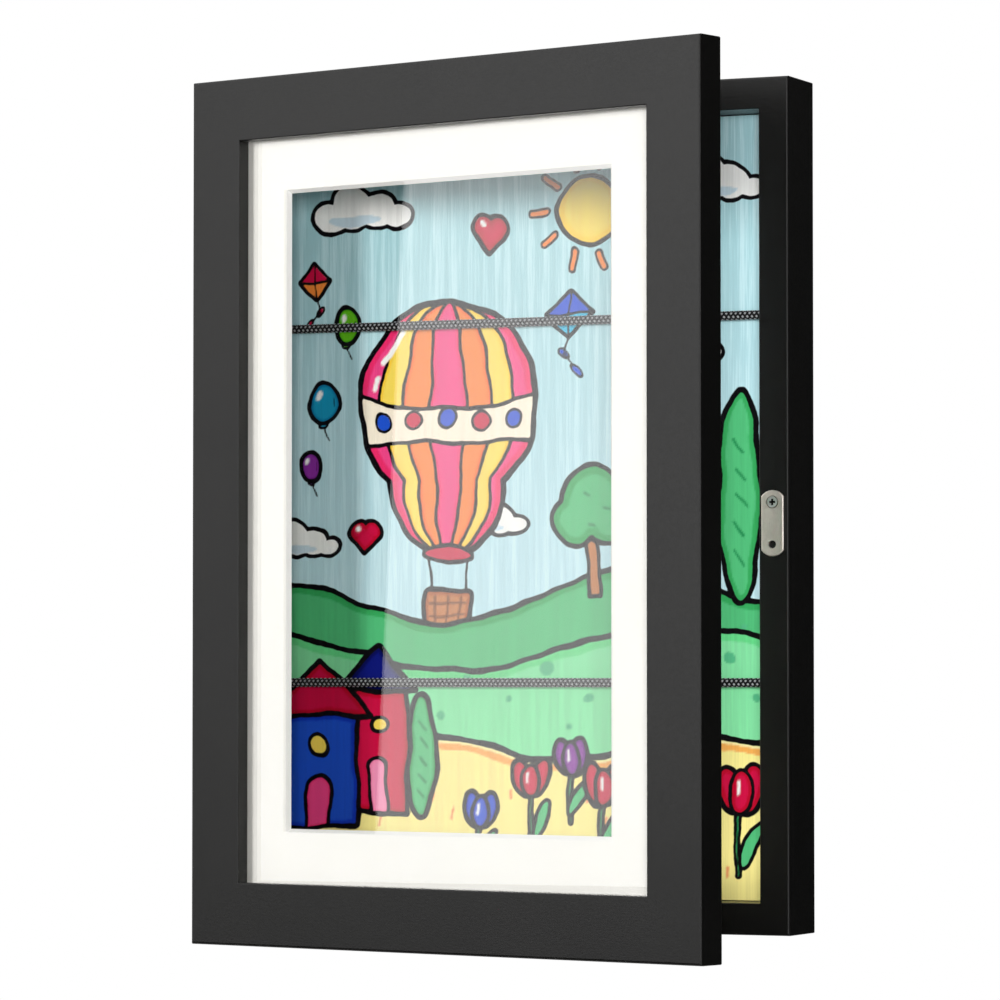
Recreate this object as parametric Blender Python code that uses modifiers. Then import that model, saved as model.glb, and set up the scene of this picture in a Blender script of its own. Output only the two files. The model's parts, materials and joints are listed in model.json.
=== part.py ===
"""Front-opening art frame for A4 drawings: a mitred case with elastic cords, and a glazed, matted door.

X runs to the right, Y towards the wall and Z up, in metres. The origin is the notch of the top hanger,
in the plane of the wall. Each door piece is built with the door shut and hangs on the empty "door_pivot",
which stands on the hinge pins' axis and holds the door open.
"""

import math

import bmesh
import bpy
from mathutils import Matrix, Vector

MM = 0.001

# Clearances
SEAT_GAP = 0.3 * MM  # between pieces that touch on the real frame
CUT_OVERRUN = 2 * MM  # how far a cutter runs past the face it opens
HOLE_PLAY = 0.3 * MM  # round a screw, nail, cord or magnet in its hole
ROUND_STEPS = 3  # facets in a rounded edge

# The sheets, A4
SHEET_WIDTH = 210 * MM
SHEET_HEIGHT = 297 * MM
SHEET_THICKNESS = 0.4 * MM
SHEET_PLAY = 1.5 * MM  # round an A4 sheet in the case; the one on show is cut to fill it
STACK_THICKNESS = 3.8 * MM  # the sheets stored behind the one on show

# Case
CASE_RAIL_FACE = 12 * MM
CASE_DEPTH = 27 * MM
CASE_REBATE_WIDTH = 4 * MM
CASE_REBATE_DEPTH = 6 * MM
CASE_EDGE_RADIUS = 0.8 * MM
PANEL_THICKNESS = 3 * MM
PANEL_PLAY = 0.5 * MM

# Door
DOOR_RAIL_FACE = 24.5 * MM
DOOR_THICKNESS = 13.5 * MM
DOOR_LIP = 5.5 * MM  # wood in front of the glazing
DOOR_REBATE_WIDTH = 6 * MM
DOOR_EDGE_RADIUS = 1 * MM
SIGHT_EDGE_RADIUS = 0.4 * MM
SIDE_OVERHANG = 5 * MM  # door past the case, left and right
END_OVERHANG = 7.5 * MM  # door past the case, top and bottom
PANE_PLAY = 0.5 * MM
GLAZING_THICKNESS = 2 * MM
MAT_THICKNESS = 1.5 * MM
MAT_BORDER = 19.7 * MM  # mat showing inside the door's window
MAT_OFFSET = 1.4 * MM  # how far the mat's opening is cut towards the hinges
REST_OPENING = math.radians(14)

# Butt hinges
PIN_RADIUS = 0.75 * MM
PIN_PLAY = 0.2 * MM
PIN_HEAD_RADIUS = 1.5 * MM
PIN_HEAD_HEIGHT = 0.6 * MM
LEAF_THICKNESS = 0.9 * MM
LEAF_LENGTH = 30 * MM
LEAF_REACH = 15 * MM  # from the pin's axis to the leaf's long edge
LEAF_CORNER_RADIUS = 1 * MM
KNUCKLE_GAP = 0.3 * MM
BARREL_PLAY = 0.4 * MM  # round the barrel in its groove in the door
HINGE_INSET = 55 * MM  # from the case's end to the middle of a hinge
HINGE_SCREW_FROM_END = 6.5 * MM  # from the leaf's end to its nearer screw
HINGE_SCREW_EDGE = 5 * MM  # from the leaf's long edge to its screws
BARREL_FACETS = 24

# Screws
SCREW_RADIUS = 1.1 * MM
SCREW_HEAD_RADIUS = 2.1 * MM
SCREW_HEAD_HEIGHT = 1.2 * MM
SCREW_LENGTH = 8 * MM
SCREW_POINT = 2 * MM
RECESS_SPAN = 2.4 * MM
RECESS_WIDTH = 0.6 * MM
RECESS_DEPTH = 0.7 * MM
SMALL_FACETS = 16

# Magnetic catch
PLATE_WIDTH = 9 * MM
PLATE_HEIGHT = 25 * MM
PLATE_THICKNESS = 1.2 * MM
PLATE_END_RADIUS = 5.5 * MM
PLATE_EDGE_RADIUS = 0.3 * MM
PLATE_HOLE_SPACING = 16 * MM
PLATE_HOLE_RADIUS = 1.5 * MM
PLATE_FROM_SIDE = 6.2 * MM  # from the case's right side to the plate's middle
PLATE_DROP = 7 * MM  # from the case's mid-height down to the plate's middle
PLATE_ARC_STEPS = 8
MAGNET_RADIUS = 4 * MM
MAGNET_DEPTH = 3 * MM
MAGNET_EDGE_RADIUS = 0.3 * MM

# Elastic cords
CORD_RADIUS = 2 * MM
CORD_SEAT = 6 * MM  # how deep a cord's end sits in its hole
UPPER_CORD_DROP = 89 * MM  # from the case's top to the upper cord
LOWER_CORD_RISE = 95 * MM  # from the case's bottom to the lower cord

# Framer's points
POINT_WIDTH = 8 * MM
POINT_LENGTH = 11 * MM
POINT_THICKNESS = 0.5 * MM
POINT_TAPER = 2 * MM  # length of the pointed end, inside the wood
POINT_IN_CASE = 3 * MM
POINT_IN_DOOR = 5 * MM
CASE_POINT_SPREAD_SHARE = 0.6  # share of a side's length between its two points
DOOR_POINT_SPREAD_SHARE = 0.6

# Sawtooth hangers
HANGER_COLUMN = 1.2 * MM  # half a tooth
HANGER_COLUMNS = 32
TOOTHED_COLUMNS = 20
HANGER_HEIGHT = 6 * MM  # at the notches
TOOTH_DEPTH = 1 * MM
HANGER_THICKNESS = 0.8 * MM
HANGER_RAISE = 1 * MM  # how far the toothed middle stands off the wood
HANGER_FROM_EDGE = 1 * MM  # from the rail's outer edge to the hanger
NAIL_RADIUS = 0.6 * MM
NAIL_HEAD_RADIUS = 1.3 * MM
NAIL_HEAD_HEIGHT = 0.5 * MM
NAIL_LENGTH = 7 * MM
NAIL_FROM_END = 2.6 * MM

# Wall pads
PAD_RADIUS = 3.8 * MM
PAD_THICKNESS = 2.7 * MM
PAD_EDGE_RADIUS = 0.7 * MM
PAD_FROM_SIDE = 20 * MM

# Sizes that follow from these
CASE_WIDTH = SHEET_WIDTH + 2 * (SHEET_PLAY + CASE_RAIL_FACE)
CASE_HEIGHT = SHEET_HEIGHT + 2 * (SHEET_PLAY + CASE_RAIL_FACE)
DOOR_WIDTH = CASE_WIDTH + 2 * SIDE_OVERHANG
DOOR_HEIGHT = CASE_HEIGHT + 2 * END_OVERHANG
WINDOW_WIDTH = DOOR_WIDTH - 2 * DOOR_RAIL_FACE
WINDOW_HEIGHT = DOOR_HEIGHT - 2 * DOOR_RAIL_FACE
BORE_RADIUS = PIN_RADIUS + PIN_PLAY
BARREL_RADIUS = BORE_RADIUS + LEAF_THICKNESS
DOOR_GAP = 2 * BORE_RADIUS  # the leaves lie flat against the barrel, flush with the wood

# Planes from the wall to the front, with the door shut
CASE_BACK = -(PAD_THICKNESS + SEAT_GAP)
CASE_FRONT = CASE_BACK - CASE_DEPTH
DOOR_BACK = CASE_FRONT - DOOR_GAP
DOOR_FRONT = DOOR_BACK - DOOR_THICKNESS
PANEL_FRONT = CASE_BACK - CASE_REBATE_DEPTH + SEAT_GAP
STACK_FRONT = PANEL_FRONT - SEAT_GAP - STACK_THICKNESS
SHEET_FRONT = STACK_FRONT - SEAT_GAP - SHEET_THICKNESS
CORD_PLANE = SHEET_FRONT - SEAT_GAP - CORD_RADIUS
GLAZING_FRONT = DOOR_FRONT + DOOR_LIP + SEAT_GAP
MAT_FRONT = GLAZING_FRONT + GLAZING_THICKNESS + SEAT_GAP
PANEL_POINT_FRONT = PANEL_FRONT + PANEL_THICKNESS + SEAT_GAP
MAT_POINT_FRONT = MAT_FRONT + MAT_THICKNESS + SEAT_GAP

# Heights and sides
CASE_TOP = HANGER_FROM_EDGE + HANGER_HEIGHT
CENTRE_Z = CASE_TOP - CASE_HEIGHT / 2
CASE_BOTTOM = CASE_TOP - CASE_HEIGHT
CASE_RIGHT = CASE_WIDTH / 2
PLATE_X = CASE_RIGHT - PLATE_FROM_SIDE
PLATE_Z = CENTRE_Z - PLATE_DROP
HINGE_AXIS = Vector((-CASE_RIGHT - SIDE_OVERHANG, (CASE_FRONT + DOOR_BACK) / 2, CENTRE_Z))
HINGE_HEIGHTS = {
    "upper": CASE_TOP - HINGE_INSET,
    "lower": CASE_BOTTOM + HINGE_INSET,
}
CASE_CENTRE = Vector((0, CASE_FRONT, CENTRE_Z))
DOOR_CENTRE = Vector((0, DOOR_FRONT, CENTRE_Z))

# Quarter turns about Y that take a top rail to each side
SIDES = {"top": 0, "latch": 1, "bottom": 2, "hinge": 3}
RAIL_NAMES = {
    "top": "top_rail",
    "bottom": "bottom_rail",
    "hinge": "hinge_stile",
    "latch": "latch_stile",
}
FACE_FRONT = Matrix.Rotation(math.pi / 2, 4, "X")  # takes +Z to -Y
FACE_BACK = Matrix.Rotation(-math.pi / 2, 4, "X")  # takes +Z to +Y


def clear_scene():
    for obj in list(bpy.data.objects):
        bpy.data.objects.remove(obj)


def new_collection(name, hidden=False):
    collection = bpy.data.collections.new(name)
    collection.hide_render = hidden
    bpy.context.scene.collection.children.link(collection)
    return collection


def new_material(name, colour, roughness, metallic=0.0, transmission=0.0):
    material = bpy.data.materials.new(name)
    material.use_nodes = True
    shader = material.node_tree.nodes["Principled BSDF"]
    shader.inputs["Base Color"].default_value = (*colour, 1)
    shader.inputs["Roughness"].default_value = roughness
    shader.inputs["Metallic"].default_value = metallic
    shader.inputs["Transmission Weight"].default_value = transmission
    material.diffuse_color = (*colour, 1)
    return material


def side_turn(side):
    return Matrix.Rotation(SIDES[side] * math.pi / 2, 4, "Y")


class Carrier:
    """One of the two bodies. It places pieces given by their position with the door shut."""

    def __init__(self, name, position):
        self.empty = bpy.data.objects.new(name, None)
        self.empty.location = position
        self.position = Vector(position)
        PARTS.objects.link(self.empty)

    def place(self, obj, position, turn=Matrix.Identity(4)):
        obj.parent = self.empty
        obj.matrix_basis = Matrix.Translation(Vector(position) - self.position) @ turn


def object_from(bm, name, material=None):
    """A mesh object from a bmesh. Without a material it is a cutter."""
    bmesh.ops.recalc_face_normals(bm, faces=bm.faces)
    mesh = bpy.data.meshes.new(name)
    bm.to_mesh(mesh)
    bm.free()
    obj = bpy.data.objects.new(name, mesh)
    return file_object(obj, material)


def file_object(obj, material):
    if material:
        obj.data.materials.append(material)
        PARTS.objects.link(obj)
    else:
        CUTTERS.objects.link(obj)
        obj.hide_render = True
        obj.display_type = "WIRE"
    return obj


def boolean(obj, other, operation="DIFFERENCE"):
    modifier = obj.modifiers.new(f"{operation.lower()}_{other.name}", "BOOLEAN")
    modifier.operation = operation
    modifier.solver = "EXACT"
    modifier.object = other


def soften(obj, width, segments=2):
    modifier = obj.modifiers.new("edges", "BEVEL")
    modifier.width = width
    modifier.segments = segments
    modifier.limit_method = "ANGLE"
    modifier.angle_limit = math.radians(50)


def block(name, low, high, material=None):
    """A box between two corners."""
    size = Vector(high) - Vector(low)
    middle = (Vector(high) + Vector(low)) / 2
    bm = bmesh.new()
    shape = Matrix.Translation(middle) @ Matrix.Diagonal((*size, 1))
    bmesh.ops.create_cube(bm, size=1, matrix=shape)
    return object_from(bm, name, material)


def rod(name, radius, low, high, facets, material=None):
    """A cylinder along Z between two heights."""
    bm = bmesh.new()
    bmesh.ops.create_cone(
        bm,
        cap_ends=True,
        segments=facets,
        radius1=radius,
        radius2=radius,
        depth=high - low,
        matrix=Matrix.Translation((0, 0, (low + high) / 2)),
    )
    return object_from(bm, name, material)


def slab(name, outline, thickness, material=None):
    """A flat outline in the XZ plane, from its front face at Y = 0 back to its thickness."""
    bm = bmesh.new()
    face = bm.faces.new([bm.verts.new((x, 0, z)) for x, z in outline])
    moved = bmesh.ops.extrude_face_region(bm, geom=[face])["geom"]
    verts = [item for item in moved if isinstance(item, bmesh.types.BMVert)]
    bmesh.ops.translate(bm, verts=verts, vec=(0, thickness, 0))
    return object_from(bm, name, material)


def turned(name, profile, facets, material=None):
    """A profile of (radius, height), from its top down its outer side, turned about Z."""
    mesh = bpy.data.meshes.new(name)
    points = [(radius, 0, height) for radius, height in profile]
    mesh.from_pydata(points, [(i, i + 1) for i in range(len(points) - 1)], [])
    obj = file_object(bpy.data.objects.new(name, mesh), material)
    screw = obj.modifiers.new("turn", "SCREW")
    screw.steps = facets
    screw.render_steps = facets
    screw.use_merge_vertices = True
    screw.merge_threshold = SEAT_GAP / 100
    screw.use_smooth_shade = True
    return obj


def rounded(corners):
    """An outline from (u, v, radius) corners that all turn by a right angle."""
    points = []
    for i, (u, v, radius) in enumerate(corners):
        here = Vector((u, v))
        before = (Vector(corners[i - 1][:2]) - here).normalized()
        after = (Vector(corners[(i + 1) % len(corners)][:2]) - here).normalized()
        if not radius:
            points.append(here)
            continue
        centre = here + (before + after) * radius
        for step in range(ROUND_STEPS + 1):
            turn = math.pi / 2 * step / ROUND_STEPS
            points.append(centre - (after * math.cos(turn) + before * math.sin(turn)) * radius)
    return points


def mitred_rail(name, side, width, height, profile, material):
    """One side of a mitred frame centred on X and Z, with its front face at Y = 0.

    The profile is an outline of (inward, back) distances from the outer front edge.
    """
    across, along = (height, width) if side in ("top", "bottom") else (width, height)
    bm = bmesh.new()
    corners = [(-along / 2, back, across / 2 - inward) for inward, back in profile]
    face = bm.faces.new([bm.verts.new(corner) for corner in corners])
    moved = bmesh.ops.extrude_face_region(bm, geom=[face])["geom"]
    far_end = [item for item in moved if isinstance(item, bmesh.types.BMVert)]
    bmesh.ops.translate(bm, verts=far_end, vec=(along, 0, 0))
    for vert in bm.verts:
        mitre = across / 2 - vert.co.z + SEAT_GAP / math.sqrt(2)
        vert.co.x -= math.copysign(mitre, vert.co.x)
    return object_from(bm, name, material)


def case_profile():
    face, depth = CASE_RAIL_FACE, CASE_DEPTH
    step, shoulder = CASE_RAIL_FACE - CASE_REBATE_WIDTH, CASE_DEPTH - CASE_REBATE_DEPTH
    return rounded(
        [
            (0, 0, CASE_EDGE_RADIUS),
            (0, depth, CASE_EDGE_RADIUS),
            (step, depth, 0),
            (step, shoulder, 0),
            (face, shoulder, 0),
            (face, 0, SIGHT_EDGE_RADIUS),
        ]
    )


def door_profile():
    face, step = DOOR_RAIL_FACE, DOOR_RAIL_FACE - DOOR_REBATE_WIDTH
    return rounded(
        [
            (0, 0, DOOR_EDGE_RADIUS),
            (0, DOOR_THICKNESS, DOOR_EDGE_RADIUS),
            (step, DOOR_THICKNESS, 0),
            (step, DOOR_LIP, 0),
            (face, DOOR_LIP, 0),
            (face, 0, SIGHT_EDGE_RADIUS),
        ]
    )


def build_frame(carrier, prefix, width, height, profile, centre):
    """Four mitred rails, returned by side."""
    rails = {}
    for side, name in RAIL_NAMES.items():
        rail = mitred_rail(f"{prefix}_{name}", side, width, height, profile, PAINT)
        carrier.place(rail, centre, side_turn(side))
        rails[side] = rail
    return rails


def screw_profile(play=0):
    """A countersunk wood screw, or with play the hole that it sits in."""
    top = CUT_OVERRUN if play else 0
    length = SCREW_LENGTH + play
    return [
        (0, top),
        (SCREW_HEAD_RADIUS + play, top),
        (SCREW_HEAD_RADIUS + play, -play),
        (SCREW_RADIUS + play, -SCREW_HEAD_HEIGHT - play),
        (SCREW_RADIUS + play, SCREW_POINT - length),
        (0, -length),
    ]


def cross_outline():
    """The plus-shaped outline of a cross recess."""
    half, arm = RECESS_WIDTH / 2, RECESS_SPAN / 2
    points = []
    for quarter in range(4):
        turn = Matrix.Rotation(quarter * math.pi / 2, 2)
        points += [turn @ Vector(corner) for corner in ((arm, -half), (arm, half), (half, half))]
    return points


def add_screw(carrier, name, position, turn, targets):
    """A cross-head screw whose head faces along the turned +Z, with its hole in each target."""
    screw = turned(name, screw_profile(), SMALL_FACETS, ZINC)
    carrier.place(screw, position, turn)
    recess = slab(f"{name}_recess", cross_outline(), RECESS_DEPTH + CUT_OVERRUN)
    into_head = FACE_FRONT.inverted() @ Matrix.Translation((0, -CUT_OVERRUN, 0))
    carrier.place(recess, position, turn @ into_head)
    boolean(screw, recess)
    hole = turned(f"{name}_hole", screw_profile(HOLE_PLAY), SMALL_FACETS)
    carrier.place(hole, position, turn)
    for target in targets:
        boolean(target, hole)


def sheet_block(name, width, height, front, thickness, material, carrier):
    """A flat sheet or board centred in the frame."""
    obj = block(name, (-width / 2, 0, -height / 2), (width / 2, thickness, height / 2), material)
    carrier.place(obj, (0, front, CENTRE_Z))
    return obj


def point_outline():
    """A framer's point. Its tapered end, at +Z, is driven into the wood."""
    half, tip, shoulder = POINT_WIDTH / 2, POINT_WIDTH / 4, POINT_LENGTH - POINT_TAPER
    outline = [(-half, 0), (half, 0), (half, shoulder)]
    return outline + [(tip, POINT_LENGTH), (-tip, POINT_LENGTH), (-half, shoulder)]


def add_points(carrier, prefix, rails, places, wall, driven, front):
    """Framer's points, each driven part of its length into a slit in the rebate's side wall.

    places holds (side, offset along it). wall is the width and height between those side walls.
    """
    for number, (side, offset) in enumerate(places, 1):
        reach = wall[1] / 2 if side in ("top", "bottom") else wall[0] / 2
        turn = side_turn(side)
        inner_end = turn @ Vector((offset, 0, reach + driven - POINT_LENGTH))
        base = Vector((0, front, CENTRE_Z)) + inner_end
        point = slab(f"{prefix}_{number}", point_outline(), POINT_THICKNESS, ZINC)
        carrier.place(point, base, turn)
        half = POINT_WIDTH / 2 + SEAT_GAP
        slit = block(
            f"{prefix}_{number}_slit",
            (-half, -SEAT_GAP, POINT_LENGTH - driven - CUT_OVERRUN),
            (half, POINT_THICKNESS + SEAT_GAP, POINT_LENGTH + SEAT_GAP),
        )
        carrier.place(slit, base, turn)
        boolean(rails[side], slit)


def build_case_filling(case, rails):
    """Back panel, stored sheets and the sheet on show."""
    inner_width = CASE_WIDTH - 2 * (CASE_RAIL_FACE - CASE_REBATE_WIDTH)
    inner_height = CASE_HEIGHT - 2 * (CASE_RAIL_FACE - CASE_REBATE_WIDTH)
    panel = (inner_width - 2 * PANEL_PLAY, inner_height - 2 * PANEL_PLAY)
    sheet_block("back_panel", *panel, PANEL_FRONT, PANEL_THICKNESS, HARDBOARD, case)
    spread = inner_height * CASE_POINT_SPREAD_SHARE / 2
    places = [("top", 0), ("bottom", 0)]
    places += [(side, offset) for side in ("hinge", "latch") for offset in (-spread, spread)]
    wall = (inner_width, inner_height)
    add_points(case, "panel_point", rails, places, wall, POINT_IN_CASE, PANEL_POINT_FRONT)
    stored = (SHEET_WIDTH, SHEET_HEIGHT)
    sheet_block("stored_drawings", *stored, STACK_FRONT, STACK_THICKNESS, PAPER, case)
    shown = [size + 2 * (SHEET_PLAY - SEAT_GAP) for size in stored]
    sheet_block("artwork", *shown, SHEET_FRONT, SHEET_THICKNESS, DRAWING, case)


def build_cord(case, name, height, rails):
    """A taut elastic cord, its ends seated in blind holes in the two upright rails."""
    inner = CASE_WIDTH / 2 - CASE_RAIL_FACE
    end = inner + CORD_SEAT - SEAT_GAP
    curve = bpy.data.curves.new(name, "CURVE")
    curve.dimensions = "3D"
    curve.bevel_depth = CORD_RADIUS
    curve.bevel_resolution = 3
    curve.use_fill_caps = True
    spline = curve.splines.new("POLY")
    spline.points.add(1)
    for point, x in zip(spline.points, (-end, end)):
        point.co = (x, 0, 0, 1)
    cord = file_object(bpy.data.objects.new(name, curve), ELASTIC)
    case.place(cord, (0, CORD_PLANE, height))
    along_x = Matrix.Rotation(math.pi / 2, 4, "Y")
    for side, sign in (("hinge", -1), ("latch", 1)):
        low, high = sorted((sign * (inner - CUT_OVERRUN), sign * (inner + CORD_SEAT)))
        hole = rod(f"{name}_{side}_hole", CORD_RADIUS + HOLE_PLAY, low, high, SMALL_FACETS)
        case.place(hole, (0, CORD_PLANE, height), along_x)
        boolean(rails[side], hole)


def plate_outline():
    """The strike plate: straight sides between two arcs wider than half its width."""
    half_width, half_height = PLATE_WIDTH / 2, PLATE_HEIGHT / 2
    spread = math.asin(half_width / PLATE_END_RADIUS)
    points = []
    for end in (1, -1):
        for step in range(PLATE_ARC_STEPS + 1):
            turn = end * spread * (1 - 2 * step / PLATE_ARC_STEPS)
            x = PLATE_END_RADIUS * math.sin(turn)
            z = half_height - PLATE_END_RADIUS * (1 - math.cos(turn))
            points.append((x, end * z))
    return points


def build_catch(case, door, case_rails, door_rails):
    """Strike plate with one screw on the case, magnet in the door."""
    plate_front = CASE_FRONT - SEAT_GAP - PLATE_THICKNESS
    plate = slab("strike_plate", plate_outline(), PLATE_THICKNESS, STEEL)
    case.place(plate, (PLATE_X, plate_front, PLATE_Z))
    soften(plate, PLATE_EDGE_RADIUS)
    through = -PLATE_THICKNESS - CUT_OVERRUN
    lower = rod("strike_plate_hole", PLATE_HOLE_RADIUS, through, CUT_OVERRUN, SMALL_FACETS)
    case.place(lower, (PLATE_X, plate_front, PLATE_Z - PLATE_HOLE_SPACING / 2), FACE_FRONT)
    boolean(plate, lower)
    upper = (PLATE_X, plate_front, PLATE_Z + PLATE_HOLE_SPACING / 2)
    add_screw(case, "strike_screw", upper, FACE_FRONT, [plate, case_rails["latch"]])

    edge = MAGNET_EDGE_RADIUS
    profile = [
        (0, 0),
        (MAGNET_RADIUS - edge, 0),
        (MAGNET_RADIUS, -edge),
        (MAGNET_RADIUS, edge - MAGNET_DEPTH),
        (MAGNET_RADIUS - edge, -MAGNET_DEPTH),
        (0, -MAGNET_DEPTH),
    ]
    magnet = turned("latch_magnet", profile, BARREL_FACETS, NICKEL)
    door.place(magnet, (PLATE_X, DOOR_BACK, PLATE_Z), FACE_BACK)
    bottom = -MAGNET_DEPTH - SEAT_GAP
    pocket = rod("latch_magnet_pocket", MAGNET_RADIUS + HOLE_PLAY, bottom, CUT_OVERRUN, BARREL_FACETS)
    door.place(pocket, (PLATE_X, DOOR_BACK, PLATE_Z), FACE_BACK)
    boolean(door_rails["latch"], pocket)


def knuckle_heights():
    """The low and high end of each of a hinge's three knuckles, from its middle."""
    length = (LEAF_LENGTH - 2 * KNUCKLE_GAP) / 3
    lows = [-LEAF_LENGTH / 2 + number * (length + KNUCKLE_GAP) for number in range(3)]
    return [(low, low + length) for low in lows]


def build_leaf(name, carrier, position, towards, own):
    """A hinge leaf rolled round the pin. towards is +1 for the case and -1 for the door.

    own lists its knuckles by number, from the bottom; the barrel is cut away at the others.
    """
    half = LEAF_LENGTH / 2
    near, far = BORE_RADIUS, BARREL_RADIUS
    low_y, high_y = sorted((towards * near, towards * far))
    leaf = block(name, (0, low_y, -half), (LEAF_REACH, high_y, half), ZINC)
    weights = leaf.data.attributes.new("bevel_weight_edge", "FLOAT", "EDGE")
    for edge in leaf.data.edges:
        start, end = (leaf.data.vertices[i].co for i in edge.vertices)
        at_corner = start.x > 0 and end.x > 0 and start.z == end.z
        weights.data[edge.index].value = float(at_corner)
    rounding = leaf.modifiers.new("corners", "BEVEL")
    rounding.width = LEAF_CORNER_RADIUS
    rounding.segments = ROUND_STEPS
    rounding.limit_method = "WEIGHT"
    barrel = rod(f"{name}_barrel", BARREL_RADIUS, -half, half, BARREL_FACETS)
    bore = rod(f"{name}_bore", BORE_RADIUS, -half - CUT_OVERRUN, half + CUT_OVERRUN, BARREL_FACETS)
    for cutter, operation in ((barrel, "UNION"), (bore, "DIFFERENCE")):
        carrier.place(cutter, position)
        boolean(leaf, cutter, operation)
    for number, (low, high) in enumerate(knuckle_heights()):
        if number in own:
            continue
        low = low - (CUT_OVERRUN if number == 0 else KNUCKLE_GAP)
        high = high + (CUT_OVERRUN if number == 2 else KNUCKLE_GAP)
        room = rod(f"{name}_room_{number}", BARREL_RADIUS + KNUCKLE_GAP, low, high, BARREL_FACETS)
        carrier.place(room, position)
        boolean(leaf, room)
    carrier.place(leaf, position)
    return leaf


def build_hinge(case, door, which, case_stile, door_stile):
    """A butt hinge of two leaves and a pin, let in flush, with two screws in each leaf."""
    position = Vector((HINGE_AXIS.x, HINGE_AXIS.y, HINGE_HEIGHTS[which]))
    half = LEAF_LENGTH / 2
    pin_half = half + SEAT_GAP
    head, rim = PIN_HEAD_HEIGHT, PIN_HEAD_RADIUS
    profile = [
        (0, pin_half + head),
        (rim - head / 2, pin_half + head),
        (rim, pin_half + head / 2),
        (rim, pin_half),
        (PIN_RADIUS, pin_half),
        (PIN_RADIUS, -pin_half),
        (rim, -pin_half),
        (rim, -pin_half - head / 2),
        (rim - head / 2, -pin_half - head),
        (0, -pin_half - head),
    ]
    pin = turned(f"{which}_hinge_pin", profile, BARREL_FACETS, ZINC)
    case.place(pin, position)

    reach = pin_half + head + BARREL_PLAY
    groove = rod(f"{which}_hinge_groove", BARREL_RADIUS + BARREL_PLAY, -reach, reach, BARREL_FACETS)
    door.place(groove, position)
    boolean(door_stile, groove)

    for body, carrier, stile, towards, own, turn in (
        ("case", case, case_stile, 1, (0, 2), FACE_FRONT),
        ("door", door, door_stile, -1, (1,), FACE_BACK),
    ):
        name = f"{which}_hinge_{body}"
        leaf = build_leaf(f"{name}_leaf", carrier, position, towards, own)
        face = position.y + towards * BORE_RADIUS
        depth = LEAF_THICKNESS + SEAT_GAP
        low_y, high_y = sorted((-towards * CUT_OVERRUN, towards * depth))
        mortise = block(
            f"{name}_mortise",
            (-CUT_OVERRUN, low_y, -half - SEAT_GAP),
            (LEAF_REACH + SEAT_GAP, high_y, half + SEAT_GAP),
        )
        carrier.place(mortise, (position.x, face, position.z))
        boolean(stile, mortise)
        for number, sign in enumerate((1, -1), 1):
            x = position.x + LEAF_REACH - HINGE_SCREW_EDGE
            z = position.z + sign * (half - HINGE_SCREW_FROM_END)
            add_screw(carrier, f"{name}_screw_{number}", (x, face, z), turn, [leaf, stile])


def build_door_filling(door, rails):
    """Glazing, bevelled mat and the points that hold them."""
    width = WINDOW_WIDTH + 2 * DOOR_REBATE_WIDTH
    height = WINDOW_HEIGHT + 2 * DOOR_REBATE_WIDTH
    pane = (width - 2 * PANE_PLAY, height - 2 * PANE_PLAY)
    sheet_block("glazing", *pane, GLAZING_FRONT, GLAZING_THICKNESS, GLASS, door)
    mat = sheet_block("mat_board", *pane, MAT_FRONT, MAT_THICKNESS, MAT, door)

    opening = (WINDOW_WIDTH - 2 * MAT_BORDER, WINDOW_HEIGHT - 2 * MAT_BORDER)
    half = Vector((opening[0] / 2, 0, opening[1] / 2))
    front, back = Vector((0, -CUT_OVERRUN, 0)), Vector((0, MAT_THICKNESS + CUT_OVERRUN, 0))
    window = block("mat_window", front - half, back + half)
    for vert in window.data.vertices:
        # The mat is cut at 45 degrees, and its front edge gives the opening's size
        vert.co.x -= vert.co.y * vert.co.x / abs(vert.co.x)
        vert.co.z -= vert.co.y * vert.co.z / abs(vert.co.z)
    door.place(window, (-MAT_OFFSET, MAT_FRONT, CENTRE_Z))
    boolean(mat, window)

    spread_x, spread_z = (size * DOOR_POINT_SPREAD_SHARE / 2 for size in (width, height))
    places = [(side, offset) for side in ("top", "bottom") for offset in (-spread_x, spread_x)]
    places += [(side, offset) for side in ("hinge", "latch") for offset in (-spread_z, spread_z)]
    add_points(door, "mat_point", rails, places, (width, height), POINT_IN_DOOR, MAT_POINT_FRONT)


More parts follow.
